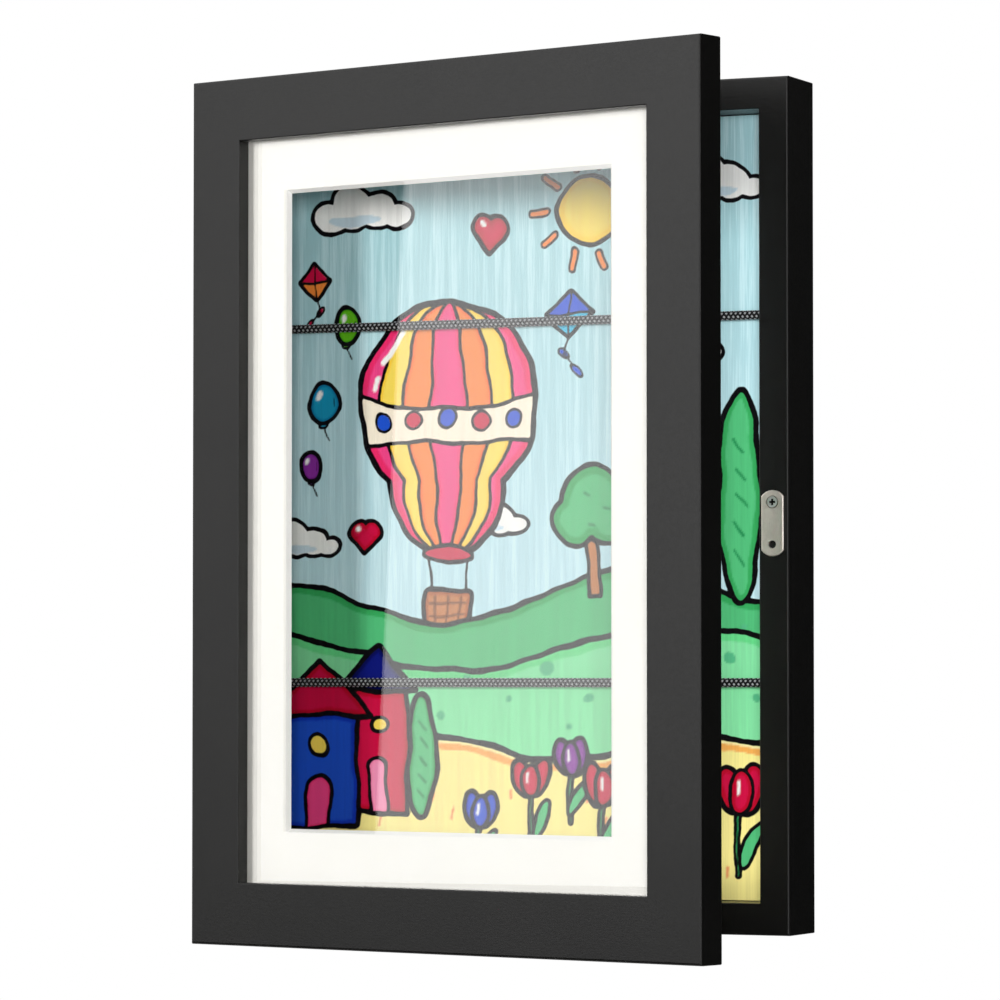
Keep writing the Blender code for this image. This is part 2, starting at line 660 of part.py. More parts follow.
def build_hanger(case, name, side, rail):
    """A sawtooth hanger nailed to the back of a rail, its teeth towards the frame's middle."""
    columns = HANGER_COLUMNS
    half_length = columns * HANGER_COLUMN / 2
    bm = bmesh.new()
    bmesh.ops.create_grid(bm, x_segments=columns, y_segments=1, size=half_length)
    for vert in bm.verts:
        column = round(vert.co.x / HANGER_COLUMN)
        toothed = abs(column) <= TOOTHED_COLUMNS / 2
        lower = vert.co.y < 0
        tooth = TOOTH_DEPTH if lower and toothed and column % 2 else 0
        ramp = min(max(TOOTHED_COLUMNS / 2 + 2 - abs(column), 0), 2) / 2
        height = 0 if lower else HANGER_HEIGHT
        vert.co = (column * HANGER_COLUMN, ramp * HANGER_RAISE, height - tooth)
    hanger = object_from(bm, name, ZINC)
    shell = hanger.modifiers.new("sheet", "SOLIDIFY")
    shell.thickness = HANGER_THICKNESS
    shell.offset = 0
    turn = side_turn(side)
    across = CASE_HEIGHT if side == "top" else CASE_WIDTH
    notch = across / 2 - HANGER_FROM_EDGE - HANGER_HEIGHT
    plane = CASE_BACK + SEAT_GAP + HANGER_THICKNESS / 2
    centre = Vector((0, plane, CENTRE_Z))
    case.place(hanger, centre + turn @ Vector((0, 0, notch)), turn)
    nail_x = half_length - NAIL_FROM_END
    head_seat = HANGER_THICKNESS / 2 + SEAT_GAP
    for number, sign in enumerate((-1, 1), 1):
        profile = [
            (0, head_seat + NAIL_HEAD_HEIGHT),
            (NAIL_HEAD_RADIUS, head_seat + NAIL_HEAD_HEIGHT),
            (NAIL_HEAD_RADIUS, head_seat),
            (NAIL_RADIUS, head_seat),
            (NAIL_RADIUS, head_seat - NAIL_LENGTH + NAIL_RADIUS),
            (0, head_seat - NAIL_LENGTH),
        ]
        place = centre + turn @ Vector((sign * nail_x, 0, notch + HANGER_HEIGHT / 2))
        nail = turned(f"{name}_nail_{number}", profile, SMALL_FACETS, ZINC)
        case.place(nail, place, FACE_BACK)
        depth = head_seat - NAIL_LENGTH - SEAT_GAP
        hole = rod(f"{nail.name}_hole", NAIL_RADIUS + HOLE_PLAY, depth, CUT_OVERRUN, SMALL_FACETS)
        case.place(hole, place, FACE_BACK)
        boolean(hanger, hole)
        boolean(rail, hole)


def build_pads(case):
    """Four round bumpers, on the top and bottom rails, that hold the case clear of the wall."""
    rim = PAD_RADIUS - PAD_EDGE_RADIUS
    profile = [(0, 0)]
    for step in range(ROUND_STEPS + 1):
        turn = math.pi / 2 * step / ROUND_STEPS
        radius = rim + PAD_EDGE_RADIUS * math.sin(turn)
        profile.append((radius, PAD_EDGE_RADIUS * (math.cos(turn) - 1)))
    profile += [(PAD_RADIUS, -PAD_THICKNESS), (0, -PAD_THICKNESS)]
    x = CASE_RIGHT - PAD_FROM_SIDE
    z = (CASE_HEIGHT - CASE_RAIL_FACE + CASE_REBATE_WIDTH) / 2
    for number, (sx, sz) in enumerate(((-1, 1), (1, 1), (-1, -1), (1, -1)), 1):
        pad = turned(f"wall_pad_{number}", profile, SMALL_FACETS, RUBBER)
        case.place(pad, (sx * x, 0, CENTRE_Z + sz * z), FACE_BACK)


clear_scene()
PARTS = new_collection("art_frame")
CUTTERS = new_collection("cutters", hidden=True)

PAINT = new_material("satin_black_paint", (0.012, 0.012, 0.012), 0.35)
MAT = new_material("white_mat_board", (0.9, 0.89, 0.86), 0.85)
GLASS = new_material("clear_glazing", (0.97, 0.99, 0.98), 0.03, transmission=1.0)
STEEL = new_material("brushed_steel", (0.62, 0.6, 0.57), 0.35, metallic=1.0)
ZINC = new_material("zinc_plated_steel", (0.5, 0.5, 0.5), 0.4, metallic=1.0)
NICKEL = new_material("nickel_plated_magnet", (0.6, 0.6, 0.58), 0.25, metallic=1.0)
ELASTIC = new_material("black_elastic_cord", (0.02, 0.022, 0.03), 0.8)
PAPER = new_material("stored_paper", (0.85, 0.85, 0.82), 0.9)
DRAWING = new_material("drawing_paper", (0.55, 0.75, 0.8), 0.8)
HARDBOARD = new_material("brown_hardboard", (0.25, 0.16, 0.09), 0.8)
RUBBER = new_material("black_rubber", (0.03, 0.03, 0.03), 0.7)

CASE = Carrier("case_origin", (0, 0, 0))
DOOR = Carrier("door_pivot", HINGE_AXIS)

case_rails = build_frame(CASE, "case", CASE_WIDTH, CASE_HEIGHT, case_profile(), CASE_CENTRE)
door_rails = build_frame(DOOR, "door", DOOR_WIDTH, DOOR_HEIGHT, door_profile(), DOOR_CENTRE)
build_case_filling(CASE, case_rails)
build_cord(CASE, "upper_cord", CASE_TOP - UPPER_CORD_DROP, case_rails)
build_cord(CASE, "lower_cord", CASE_BOTTOM + LOWER_CORD_RISE, case_rails)
build_catch(CASE, DOOR, case_rails, door_rails)
for which_hinge in HINGE_HEIGHTS:
    build_hinge(CASE, DOOR, which_hinge, case_rails["hinge"], door_rails["hinge"])
build_door_filling(DOOR, door_rails)
build_hanger(CASE, "top_hanger", "top", case_rails["top"])
build_hanger(CASE, "side_hanger", "hinge", case_rails["hinge"])
build_pads(CASE)

# Opening the door turns it clockwise, seen from above
DOOR.empty.rotation_euler.z = -REST_OPENING
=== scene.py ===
# %% [markdown]
# # A children's art frame with its door ajar
#
# The frame hangs on a wall. A shallow black case holds a pile of drawings behind two elastic
# cords, and a glazed door with a mat swings open at the left so that the drawing can be changed.
# The pieces come from the construction file at their real size. This script only dresses them:
# it sets up a camera and soft light, gives every surface a finish, braids the two cords, and
# draws a picture for the frame to show.

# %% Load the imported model
import json
import math

import bmesh
import bpy
import numpy as np
from mathutils import Matrix, Vector


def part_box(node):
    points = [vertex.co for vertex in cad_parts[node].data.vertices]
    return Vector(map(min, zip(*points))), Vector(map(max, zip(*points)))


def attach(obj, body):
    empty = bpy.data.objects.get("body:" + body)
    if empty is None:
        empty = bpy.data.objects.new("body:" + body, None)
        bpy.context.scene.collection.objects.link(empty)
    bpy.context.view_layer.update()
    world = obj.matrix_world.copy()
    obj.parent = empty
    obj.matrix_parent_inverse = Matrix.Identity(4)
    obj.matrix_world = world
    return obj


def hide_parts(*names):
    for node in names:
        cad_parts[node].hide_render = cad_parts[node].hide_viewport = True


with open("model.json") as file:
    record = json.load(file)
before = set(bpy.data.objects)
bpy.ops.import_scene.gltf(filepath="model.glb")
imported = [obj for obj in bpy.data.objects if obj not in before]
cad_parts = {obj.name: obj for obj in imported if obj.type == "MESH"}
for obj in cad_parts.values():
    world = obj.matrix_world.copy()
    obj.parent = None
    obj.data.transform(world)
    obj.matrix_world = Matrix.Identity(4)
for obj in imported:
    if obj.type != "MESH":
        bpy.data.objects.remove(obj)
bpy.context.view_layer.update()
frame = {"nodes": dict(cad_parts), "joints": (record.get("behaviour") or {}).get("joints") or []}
nodes = frame["nodes"]

# %% [markdown]
# ## Measures taken from the model
#
# Everything is in metres, with +X to the right, +Y towards the wall and +Z up. The door's joint
# gives its axis, and its lower limit says how far the door stands open, because there it is shut.

# %% Measures
MM = 0.001
hinge = frame["joints"][0]
AXIS = Vector(hinge["pos_m"])
REST_OPENING = -math.radians(hinge["range_deg"][0])
DOOR_TURN = Matrix.Rotation(-REST_OPENING, 4, "Z")
DOOR_PLACE = Matrix.Translation(AXIS) @ DOOR_TURN
DOOR_FRONT = DOOR_TURN.to_3x3() @ Vector((0, -1, 0))  # the way that the open door faces
SHEET_LOW, SHEET_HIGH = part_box("artwork")
SHEET_CENTRE = (SHEET_LOW + SHEET_HIGH) / 2
SHEET_SIZE = SHEET_HIGH - SHEET_LOW
print(f"door open by {math.degrees(REST_OPENING):.0f} degrees")
print(f"sheet {SHEET_SIZE.x / MM:.0f} by {SHEET_SIZE.z / MM:.0f} mm")


# %% Object helpers
def mesh_from(shape, name):
    """Turns a finished bmesh into a mesh."""
    mesh = bpy.data.meshes.new(name)
    shape.to_mesh(mesh)
    shape.free()
    return mesh


def place_in_scene(data):
    """An object for a mesh, a lamp or a camera, with the same name."""
    thing = bpy.data.objects.new(data.name, data)
    bpy.context.scene.collection.objects.link(thing)
    return thing


# %% [markdown]
# ## Camera
#
# A long lens keeps the edges of the frame nearly parallel. It stands to the right of the frame,
# a little below its middle, and looks slightly up. A camera looks along its own -Z, so the first
# turn raises it from looking down to level, and a little more for the upward tilt.

# %% Place the camera
LENS = 178.45  # mm
CAMERA_PLACE = Vector((0.7832, -1.7742, -0.22015))
CAMERA_YAW = math.radians(24.20)
CAMERA_TILT = math.radians(2.054)

camera_data = bpy.data.cameras.new("camera")
camera_data.lens = LENS
camera_data.clip_start = 0.05
camera_data.clip_end = 50
camera = place_in_scene(camera_data)
camera.location = CAMERA_PLACE
camera.rotation_euler = (math.pi / 2 + CAMERA_TILT, 0, CAMERA_YAW)
bpy.context.scene.camera = camera
bpy.context.scene.view_settings.view_transform = "Standard"
print("camera is", round((CAMERA_PLACE - SHEET_CENTRE).length, 2), "m from the drawing")

# %% [markdown]
# ## Wiring materials
#
# Every finish below is a small network of nodes. Short helpers keep the wiring readable. They
# wire a socket, add a node, do sums on numbers and on vectors, mix two colours, fade from one
# value to another and make noise. Each takes a plain value or the output of another node.


# %% Node helpers
def connect(socket, value):
    """Wires a socket to another one, or writes a plain value into it."""
    if isinstance(value, bpy.types.NodeSocket):
        socket.id_data.links.new(value, socket)
    else:
        socket.default_value = value


def add_node(tree, kind, inputs=(), **settings):
    """A new node with its settings, and with its inputs given by name or number."""
    node = tree.nodes.new(kind)
    for name, value in settings.items():
        setattr(node, name, value)
    for name, value in dict(inputs).items():
        connect(node.inputs[name], value)
    return node


def maths(tree, operation, *values):
    return add_node(tree, "ShaderNodeMath", enumerate(values), operation=operation).outputs["Value"]


def vectors(tree, operation, *values, output="Vector"):
    node = add_node(tree, "ShaderNodeVectorMath", enumerate(values), operation=operation)
    return node.outputs[output]


def mix_colours(tree, factor, first, second, blend="MIX"):
    inputs = {0: factor, 6: first, 7: second}
    node = add_node(tree, "ShaderNodeMix", inputs, data_type="RGBA", blend_type=blend)
    return node.outputs[2]


def fade(tree, value, start, end, low=0.0, high=1.0):
    """Turns a value between start and end smoothly into one between low and high."""
    inputs = {"Value": value, "From Min": start, "From Max": end, "To Min": low, "To Max": high}
    node = add_node(tree, "ShaderNodeMapRange", inputs, interpolation_type="SMOOTHSTEP")
    return node.outputs["Result"]


def noise(tree, point, scale, detail, roughness=0.5):
    inputs = {"Vector": point, "Scale": scale, "Detail": detail, "Roughness": roughness}
    return add_node(tree, "ShaderNodeTexNoise", inputs).outputs["Fac"]


# %% [markdown]
# A node group is a network with named inputs and outputs that many materials can share. The
# next helpers start a group and place one in a tree. The others start a material, give the place
# on its surface, and let it show a second shader for a share of the rays.

# %% Group and material helpers
NUMBER, VECTOR = "NodeSocketFloat", "NodeSocketVector"


def new_group(name, inputs, outputs):
    """An empty group, with the outputs of its input end and the inputs of its output end."""
    tree = bpy.data.node_groups.new(name, "ShaderNodeTree")
    for label, (kind, default) in inputs.items():
        socket = tree.interface.new_socket(name=label, in_out="INPUT", socket_type=kind)
        socket.default_value = default
    for label, kind in outputs.items():
        tree.interface.new_socket(name=label, in_out="OUTPUT", socket_type=kind)
    return tree, tree.nodes.new("NodeGroupInput").outputs, tree.nodes.new("NodeGroupOutput").inputs


def use_group(tree, group, inputs):
    return add_node(tree, "ShaderNodeGroup", inputs, node_tree=group).outputs


def new_finish(name, **sockets):
    """A material with its shader's plain values set by socket name."""
    material = bpy.data.materials.new(name)
    material.use_nodes = True
    shader = material.node_tree.nodes["Principled BSDF"]
    for socket, value in sockets.items():
        shader.inputs[socket.replace("_", " ")].default_value = value
    return material, material.node_tree, shader.inputs


def surface_point(tree):
    return add_node(tree, "ShaderNodeTexCoord").outputs["Object"]


def show_instead(tree, share, second):
    """Lets a material show a second shader instead of its own, for this share."""
    own = tree.nodes["Principled BSDF"].outputs[0]
    both = add_node(tree, "ShaderNodeMixShader", {0: share, 1: own, 2: second.outputs[0]})
    connect(tree.nodes["Material Output"].inputs["Surface"], both.outputs[0])


# %% [markdown]
# ## White surroundings and soft light
#
# The picture was taken against plain white. The world is white for what the camera, a
# reflection or a view through glass meets, while only a dim grey part of it lights the frame.
# Two lamps do the rest. One beside the camera reaches everything that the camera sees, and one
# from the left lays soft shadows behind the mat and below the rails. Two more are only mirrored
# by gloss and glass: a wide softbox makes the sheen on the rails and the veil on the pane, and
# a small lamp makes the metal glint.

# %% World
AMBIENT = 0.19
PURE_WHITE = (1, 1, 1, 1)

world = bpy.data.worlds.new("white_surroundings")
world.use_nodes = True
bpy.context.scene.world = world
sky = world.node_tree
sky.nodes.clear()


def no_dull_bounce(tree):
    """1 for a ray that has met no dull surface on its way, and 0 for the others."""
    depth = add_node(tree, "ShaderNodeLightPath").outputs["Diffuse Depth"]
    return maths(tree, "LESS_THAN", depth, 0.5)


def seen_rays(tree):
    """1 for a ray that the camera sends, or that mirrors or glass pass on, and 0 for light."""
    path = add_node(tree, "ShaderNodeLightPath").outputs
    seen = maths(tree, "MAXIMUM", path["Is Camera Ray"], path["Is Glossy Ray"])
    seen = maths(tree, "MAXIMUM", seen, path["Is Transmission Ray"])
    return maths(tree, "MULTIPLY", seen, no_dull_bounce(tree))


dim = add_node(sky, "ShaderNodeBackground", {"Color": PURE_WHITE, "Strength": AMBIENT})
white = add_node(sky, "ShaderNodeBackground", {"Color": PURE_WHITE, "Strength": 1.0})
mixed = {0: seen_rays(sky), 1: dim.outputs[0], 2: white.outputs[0]}
both = add_node(sky, "ShaderNodeMixShader", mixed)
add_node(sky, "ShaderNodeOutputWorld", {"Surface": both.outputs[0]})
print("world:", AMBIENT, "for light, 1 for what is seen")


# %% Lamps
def soft_lamp(name, around, up, distance, size, light):
    """An area lamp that faces the frame, so many degrees to the right of it and above it.

    Light is what it gives a white card that faces it.
    """
    data = bpy.data.lights.new(name, "AREA")
    data.shape = "RECTANGLE"
    data.size, data.size_y = size
    data.energy = light * math.pi**2 * distance**2
    lamp = place_in_scene(data)
    around, up = math.radians(around), math.radians(up)
    away = Vector((math.sin(around) * math.cos(up), -math.cos(around) * math.cos(up), math.sin(up)))
    lamp.location = SHEET_CENTRE + away * distance
    lamp.rotation_mode = "QUATERNION"
    lamp.rotation_quaternion = away.to_track_quat("Z", "Y")
    lamp.visible_camera = False
    print(f"{name}: {data.energy:.1f} W at {distance} m")
    return lamp


# Each has its degrees to the right and up, metres away, metres wide and high, and its light
LIGHTING_LAMPS = {
    "left_lamp": (-27, 12, 1.6, (0.3, 0.5), 0.66),
    "camera_side_lamp": (24, 4, 2.1, (0.5, 0.6), 0.52),
}
MIRRORED_LAMPS = {
    "mirrored_softbox": (-31, 18, 1.6, (1.75, 1.5), 0.435),
    "metal_glint": (24, 4, 2.1, (0.5, 0.6), 0.3),
}
for name, values in LIGHTING_LAMPS.items():
    lamp = soft_lamp(name, *values)
    lamp.visible_glossy = lamp.visible_transmission = False
for name, values in MIRRORED_LAMPS.items():
    lamp = soft_lamp(name, *values)
    lamp.visible_diffuse = False
    lamp.data.use_nodes = True
    strength = lamp.data.node_tree.nodes["Emission"].inputs["Strength"]
    connect(strength, no_dull_bounce(lamp.data.node_tree))

# %% [markdown]
# The floor is well below the frame, since the frame hangs. It is plain and pale and takes the
# frame's soft shadow, and towards its rim it fades into the white surroundings.

# %% Floor
FLOOR_HEIGHT = -0.6
FLOOR_RADIUS = 2.0
FLOOR_FADE = (0.7, 1.9)  # metres from its middle, where it turns white
FLOOR_PALENESS = 0.6  # how far it is lifted towards white for the camera

disc = bmesh.new()
bmesh.ops.create_circle(disc, cap_ends=True, segments=96, radius=FLOOR_RADIUS)
bmesh.ops.translate(disc, verts=disc.verts, vec=(0, 0, FLOOR_HEIGHT))
floor = place_in_scene(mesh_from(disc, "floor"))

floor_finish, tree, _ = new_finish("pale_floor", Base_Color=(0.86, 0.86, 0.85, 1), Roughness=0.9)
flat_point = vectors(tree, "MULTIPLY", surface_point(tree), (1, 1, 0))
reach = vectors(tree, "LENGTH", flat_point, output="Value")
rim = fade(tree, reach, *FLOOR_FADE)
glow = add_node(tree, "ShaderNodeEmission", {"Color": PURE_WHITE, "Strength": 1.0})
path = add_node(tree, "ShaderNodeLightPath").outputs
straight = maths(tree, "MAXIMUM", path["Is Camera Ray"], path["Is Transmission Ray"])
share = maths(tree, "MAXIMUM", rim, maths(tree, "MULTIPLY", straight, FLOOR_PALENESS))
show_instead(tree, maths(tree, "MULTIPLY", share, seen_rays(tree)), glow)
floor.data.materials.append(floor_finish)
print("floor at", FLOOR_HEIGHT, "m")

# %% [markdown]
# Photographers stand black cards beside a dark object, so that its edges stay dark against a
# white ground. Three cards do that here, met only in reflections or through the pane. The wide
# one stands to the right and back, where the sides of the frame mirror it, and a low one darkens
# the foot of the rails. The narrow one stands where the glass mirrors it over the left third of
# the picture, and the glass beyond it mirrors the softbox, as a veil.


# %% Black cards
def black_card(name, corners, grey=0.0):
    """A dark sheet through four corners, for reflections."""
    sheet = bmesh.new()
    bmesh.ops.create_grid(sheet, x_segments=1, y_segments=1, size=1)
    order = sorted(sheet.verts, key=lambda v: (v.co.y, v.co.x))
    for vertex, corner in zip(order, corners):
        vertex.co = corner
    card = place_in_scene(mesh_from(sheet, name))
    card.visible_camera = card.visible_diffuse = card.visible_shadow = False
    finish = new_finish(name, Base_Color=(grey, grey, grey, 1), Specular_IOR_Level=0)[0]
    card.data.materials.append(finish)


# Places on the pane are measured from the hinge's axis, with the door shut
back_to_shut = DOOR_PLACE.inverted()
GLASS_FRONT = min((back_to_shut @ v.co).y for v in nodes["glazing"].data.vertices)
CARD_DISTANCE = 1.2
CARD_HALF_HEIGHT = 125 * MM  # as high as the opening in the mat
CARD_LEFT = 42.8 * MM
CARD_RIGHT_LOW, CARD_RIGHT_HIGH = 89 * MM, 103 * MM


def mirrored_corner(across, height):
    """Where a ray from the camera ends, once this place on the pane has mirrored it."""
    place = DOOR_PLACE @ Vector((across, GLASS_FRONT, height))
    ray = (place - CAMERA_PLACE).normalized()
    return place + ray.reflect(DOOR_FRONT) * CARD_DISTANCE


narrow_card = [mirrored_corner(x, -CARD_HALF_HEIGHT) for x in (CARD_LEFT, CARD_RIGHT_LOW)]
narrow_card += [mirrored_corner(x, CARD_HALF_HEIGHT) for x in (CARD_LEFT, CARD_RIGHT_HIGH)]
WIDE_CARD = [(-0.1, 1.3, -1.2), (1.5, -0.9, -1.2), (-0.1, 1.3, 1.2), (1.5, -0.9, 1.2)]
WIDE_CARD_GREY = 0.055
LOW_CARD = [(-1.9, -1.2, -0.5), (0.2, -1.7, -0.5), (-1.9, 0.0, -0.5), (0.2, -0.15, -0.5)]
black_card("narrow_black_card", narrow_card)
black_card("wide_black_card", WIDE_CARD, WIDE_CARD_GREY)
black_card("low_black_card", LOW_CARD)
print("three black cards")

# %% [markdown]
# ## Satin black paint
#
# The rails are wood, sprayed satin black. Close up, such paint is slightly uneven: the wood's
# grain still shows along each rail, there is a fine orange peel, and the gloss changes from
# place to place. Two groups do this. One gives coarse clouds and fine grains, the other gives
# streaks that run along one direction, and the metals and papers below use them as well.

# %% Shared surface groups
SPECKLE, given, result = new_group(
    "speckle",
    {"Point": (VECTOR, (0, 0, 0)), "Coarse": (NUMBER, 30.0), "Fine": (NUMBER, 700.0)},
    {"Clouds": NUMBER, "Grains": NUMBER, "Height": NUMBER},
)
clouds = noise(SPECKLE, given["Point"], given["Coarse"], detail=3)
grains = noise(SPECKLE, given["Point"], given["Fine"], detail=3, roughness=0.6)
connect(result["Clouds"], fade(SPECKLE, clouds, 0.3, 0.7))
connect(result["Grains"], fade(SPECKLE, grains, 0.25, 0.75))
connect(result["Height"], maths(SPECKLE, "MULTIPLY_ADD", clouds, 0.5, grains))

STREAKS, given, result = new_group(
    "streaks",
    {"Point": (VECTOR, (0, 0, 0)), "Stretch": (VECTOR, (1, 1, 1))},
    {"Broad": NUMBER, "Thin": NUMBER},
)
stretched = vectors(STREAKS, "MULTIPLY", given["Point"], given["Stretch"])
broad = noise(STREAKS, stretched, 1.0, detail=2)
thin = noise(STREAKS, stretched, 4.0, detail=4, roughness=0.7)
connect(result["Broad"], fade(STREAKS, broad, 0.3, 0.7))
connect(result["Thin"], fade(STREAKS, thin, 0.3, 0.7))


def raise_surface(tree, shader, height, relief, strength=1.0):
    """Feeds a height through a Bump node. Relief is how far the surface really rises."""
    inputs = {"Height": height, "Distance": relief, "Strength": strength}
    bump = add_node(tree, "ShaderNodeBump", inputs)
    connect(shader["Normal"], bump.outputs["Normal"])


def dress(material, *names):
    """Gives the material to every slot of these nodes."""
    for name in names:
        for slot in nodes[name].material_slots:
            slot.material = material


print("groups:", SPECKLE.name, STREAKS.name)


# %% Paint
DARK_PAINT, PALE_PAINT = (0.0022, 0.0021, 0.0019, 1), (0.0034, 0.0032, 0.0029, 1)
ALONG_GRAIN, ACROSS_GRAIN = 12, 420  # cells of noise in a metre


def satin_black(name, grain):
    """Satin black paint over wood whose grain runs along the stretch that is small."""
    material, tree, shader = new_finish(name, Specular_IOR_Level=0.34)
    point = surface_point(tree)
    specks = use_group(tree, SPECKLE, {"Point": point, "Coarse": 22.0, "Fine": 900.0})
    lines = use_group(tree, STREAKS, {"Point": point, "Stretch": grain})
    connect(shader["Base Color"], mix_colours(tree, specks["Clouds"], DARK_PAINT, PALE_PAINT))
    connect(shader["Roughness"], fade(tree, specks["Grains"], 0, 1, 0.30, 0.38))
    height = maths(tree, "MULTIPLY_ADD", lines["Thin"], 0.6, specks["Height"])
    raise_surface(tree, shader, height, relief=0.03 * MM, strength=0.5)
    return material


rail_paint = satin_black("satin_black_rail", (ALONG_GRAIN, ACROSS_GRAIN, ACROSS_GRAIN))
stile_paint = satin_black("satin_black_stile", (ACROSS_GRAIN, ACROSS_GRAIN, ALONG_GRAIN))
for body in ("case", "door"):
    dress(rail_paint, f"{body}_top_rail", f"{body}_bottom_rail")
    dress(stile_paint, f"{body}_hinge_stile", f"{body}_latch_stile")
print("eight rails painted")

# %% [markdown]
# ## Glazing
#
# The pane is clear and flat, so it needs no colour of its own. What it shows is the softbox
# mirrored in it, and the dark card. Its shader is plain glass for everything seen. For light on
# its way from a lamp it is a thin grey filter instead, because light that bends through solid
# glass would leave the drawing behind it in a noisy shadow.

# %% Clear pane
pane_finish, tree, _ = new_finish(
    "clear_pane", Base_Color=(0.99, 0.99, 0.985, 1), Roughness=0.0, IOR=1.49, Transmission_Weight=1.0
)
shadow_ray = add_node(tree, "ShaderNodeLightPath").outputs["Is Shadow Ray"]
grey_filter = add_node(tree, "ShaderNodeBsdfTransparent", {"Color": (0.89, 0.885, 0.875, 1)})
show_instead(tree, shadow_ray, grey_filter)
dress(pane_finish, "glazing")
print("pane is clear")

# %% [markdown]
# ## Mat and paper
#
# The mat is ivory board with a white core, which shows where the knife cut its opening at 45
# degrees. The cut faces are told apart by their normal in the piece's own space, because they
# face halfway between the front and the side.

# %% Mat board and stored paper
IVORY_DARK, IVORY_PALE = (0.930, 0.925, 0.885, 1), (0.945, 0.94, 0.905, 1)
IVORY_FIBRE, MAT_CORE = (0.9, 0.89, 0.85, 1), (0.96, 0.96, 0.95, 1)
PAPER_DARK, PAPER_PALE = (0.86, 0.86, 0.84, 1), (0.9, 0.9, 0.87, 1)
# Painted shade in the gaps between the stored sheets
PAINTED_GAP_SHADE = (0.52, 0.51, 0.5, 1)

mat_finish, tree, shader = new_finish("ivory_mat_board", Roughness=0.85, Specular_IOR_Level=0.3)
point = surface_point(tree)
specks = use_group(tree, SPECKLE, {"Point": point, "Coarse": 60.0, "Fine": 1800.0})
fibres = use_group(tree, STREAKS, {"Point": point, "Stretch": (900, 900, 250)})
normal = add_node(tree, "ShaderNodeTexCoord").outputs["Normal"]
facing = vectors(tree, "DOT_PRODUCT", normal, DOOR_FRONT.to_tuple(), output="Value")
cut_face = maths(tree, "COMPARE", facing, math.cos(math.pi / 4), 0.1)
ivory = mix_colours(tree, specks["Clouds"], IVORY_DARK, IVORY_PALE)
ivory = mix_colours(tree, maths(tree, "MULTIPLY", fibres["Thin"], 0.25), ivory, IVORY_FIBRE)
connect(shader["Base Color"], mix_colours(tree, cut_face, ivory, MAT_CORE))
height = maths(tree, "ADD", specks["Height"], fibres["Thin"])
raise_surface(tree, shader, height, relief=0.02 * MM, strength=0.5)
dress(mat_finish, "mat_board")

paper_finish, tree, shader = new_finish("stored_paper", Roughness=0.9, Specular_IOR_Level=0.3)
point = surface_point(tree)
specks = use_group(tree, SPECKLE, {"Point": point, "Coarse": 40.0, "Fine": 1500.0})
layers = use_group(tree, STREAKS, {"Point": point, "Stretch": (6, 2600, 6)})
# Dark lines across the pile's edge are painted shade in the gaps between sheets
sheets = fade(tree, layers["Broad"], 0.25, 0.45)
paper = mix_colours(tree, specks["Clouds"], PAPER_DARK, PAPER_PALE)
connect(shader["Base Color"], mix_colours(tree, sheets, PAINTED_GAP_SHADE, paper))
raise_surface(tree, shader, maths(tree, "ADD", sheets, specks["Grains"]), relief=0.05 * MM)
dress(paper_finish, "stored_drawings")
print("mat and stored sheets")

# %% [markdown]
# ## Metals, hardboard and rubber
#
# The strike plate is brushed along its length, the hinges, screws, points and hangers are dull
# zinc with the soft clouds that plating leaves, and the magnet is nickel. The back is hardboard
# of pressed brown fibre. The bumpers are black rubber.


# %% Metals
def plated(name, dark, light, smooth, rough, stretch=(60, 60, 60)):
    """Bare metal from dark and rough to light and smooth, with fine scratches."""
    material, tree, shader = new_finish(name, Metallic=1.0)
    point = surface_point(tree)
    specks = use_group(tree, SPECKLE, {"Point": point, "Coarse": 180.0, "Fine": 2500.0})
    lines = use_group(tree, STREAKS, {"Point": point, "Stretch": stretch})
    cloudy = maths(tree, "MULTIPLY", specks["Clouds"], 0.45)
    share = maths(tree, "MULTIPLY_ADD", lines["Thin"], 0.55, cloudy)
    connect(shader["Base Color"], mix_colours(tree, share, (*dark, 1), (*light, 1)))
    connect(shader["Roughness"], fade(tree, share, 0, 1, rough, smooth))
    height = maths(tree, "MULTIPLY_ADD", specks["Grains"], 0.3, lines["Thin"])
    raise_surface(tree, shader, height, relief=0.01 * MM, strength=0.6)
    return material


plate_finish = plated(
    "brushed_plate", (0.76, 0.69, 0.62), (0.97, 0.89, 0.81), 0.32, 0.46, stretch=(1500, 1500, 25)
)
dress(plate_finish, "strike_plate")
zinc_finish = plated("dull_zinc", (0.40, 0.41, 0.42), (0.64, 0.65, 0.66), 0.3, 0.5)
zinc_nodes = [name for name in nodes if "hinge_" in name or "point" in name or "hanger" in name]
zinc_nodes = [name for name in zinc_nodes if not name.endswith(("rail", "stile"))]
dress(zinc_finish, *zinc_nodes)
nickel_finish = plated("nickel", (0.58, 0.56, 0.52), (0.74, 0.72, 0.68), 0.16, 0.3)
dress(nickel_finish, "latch_magnet")
print(len(zinc_nodes), "zinc pieces")

# %% [markdown]
# The strike plate's screw has a cross-shaped recess, and the shade in it is painted: the finish
# is darkened by how far a point is from the screw's axis, sideways and upwards.

# %% Cross-head screw
CROSS_ARM = 1.15 * MM
CROSS_HALF_WIDTH = 0.36 * MM
CROSS_EDGE = 0.1 * MM
# Painted shade for the screw's cross-shaped recess
PAINTED_RECESS_SHADE = (0.02, 0.02, 0.02, 1)

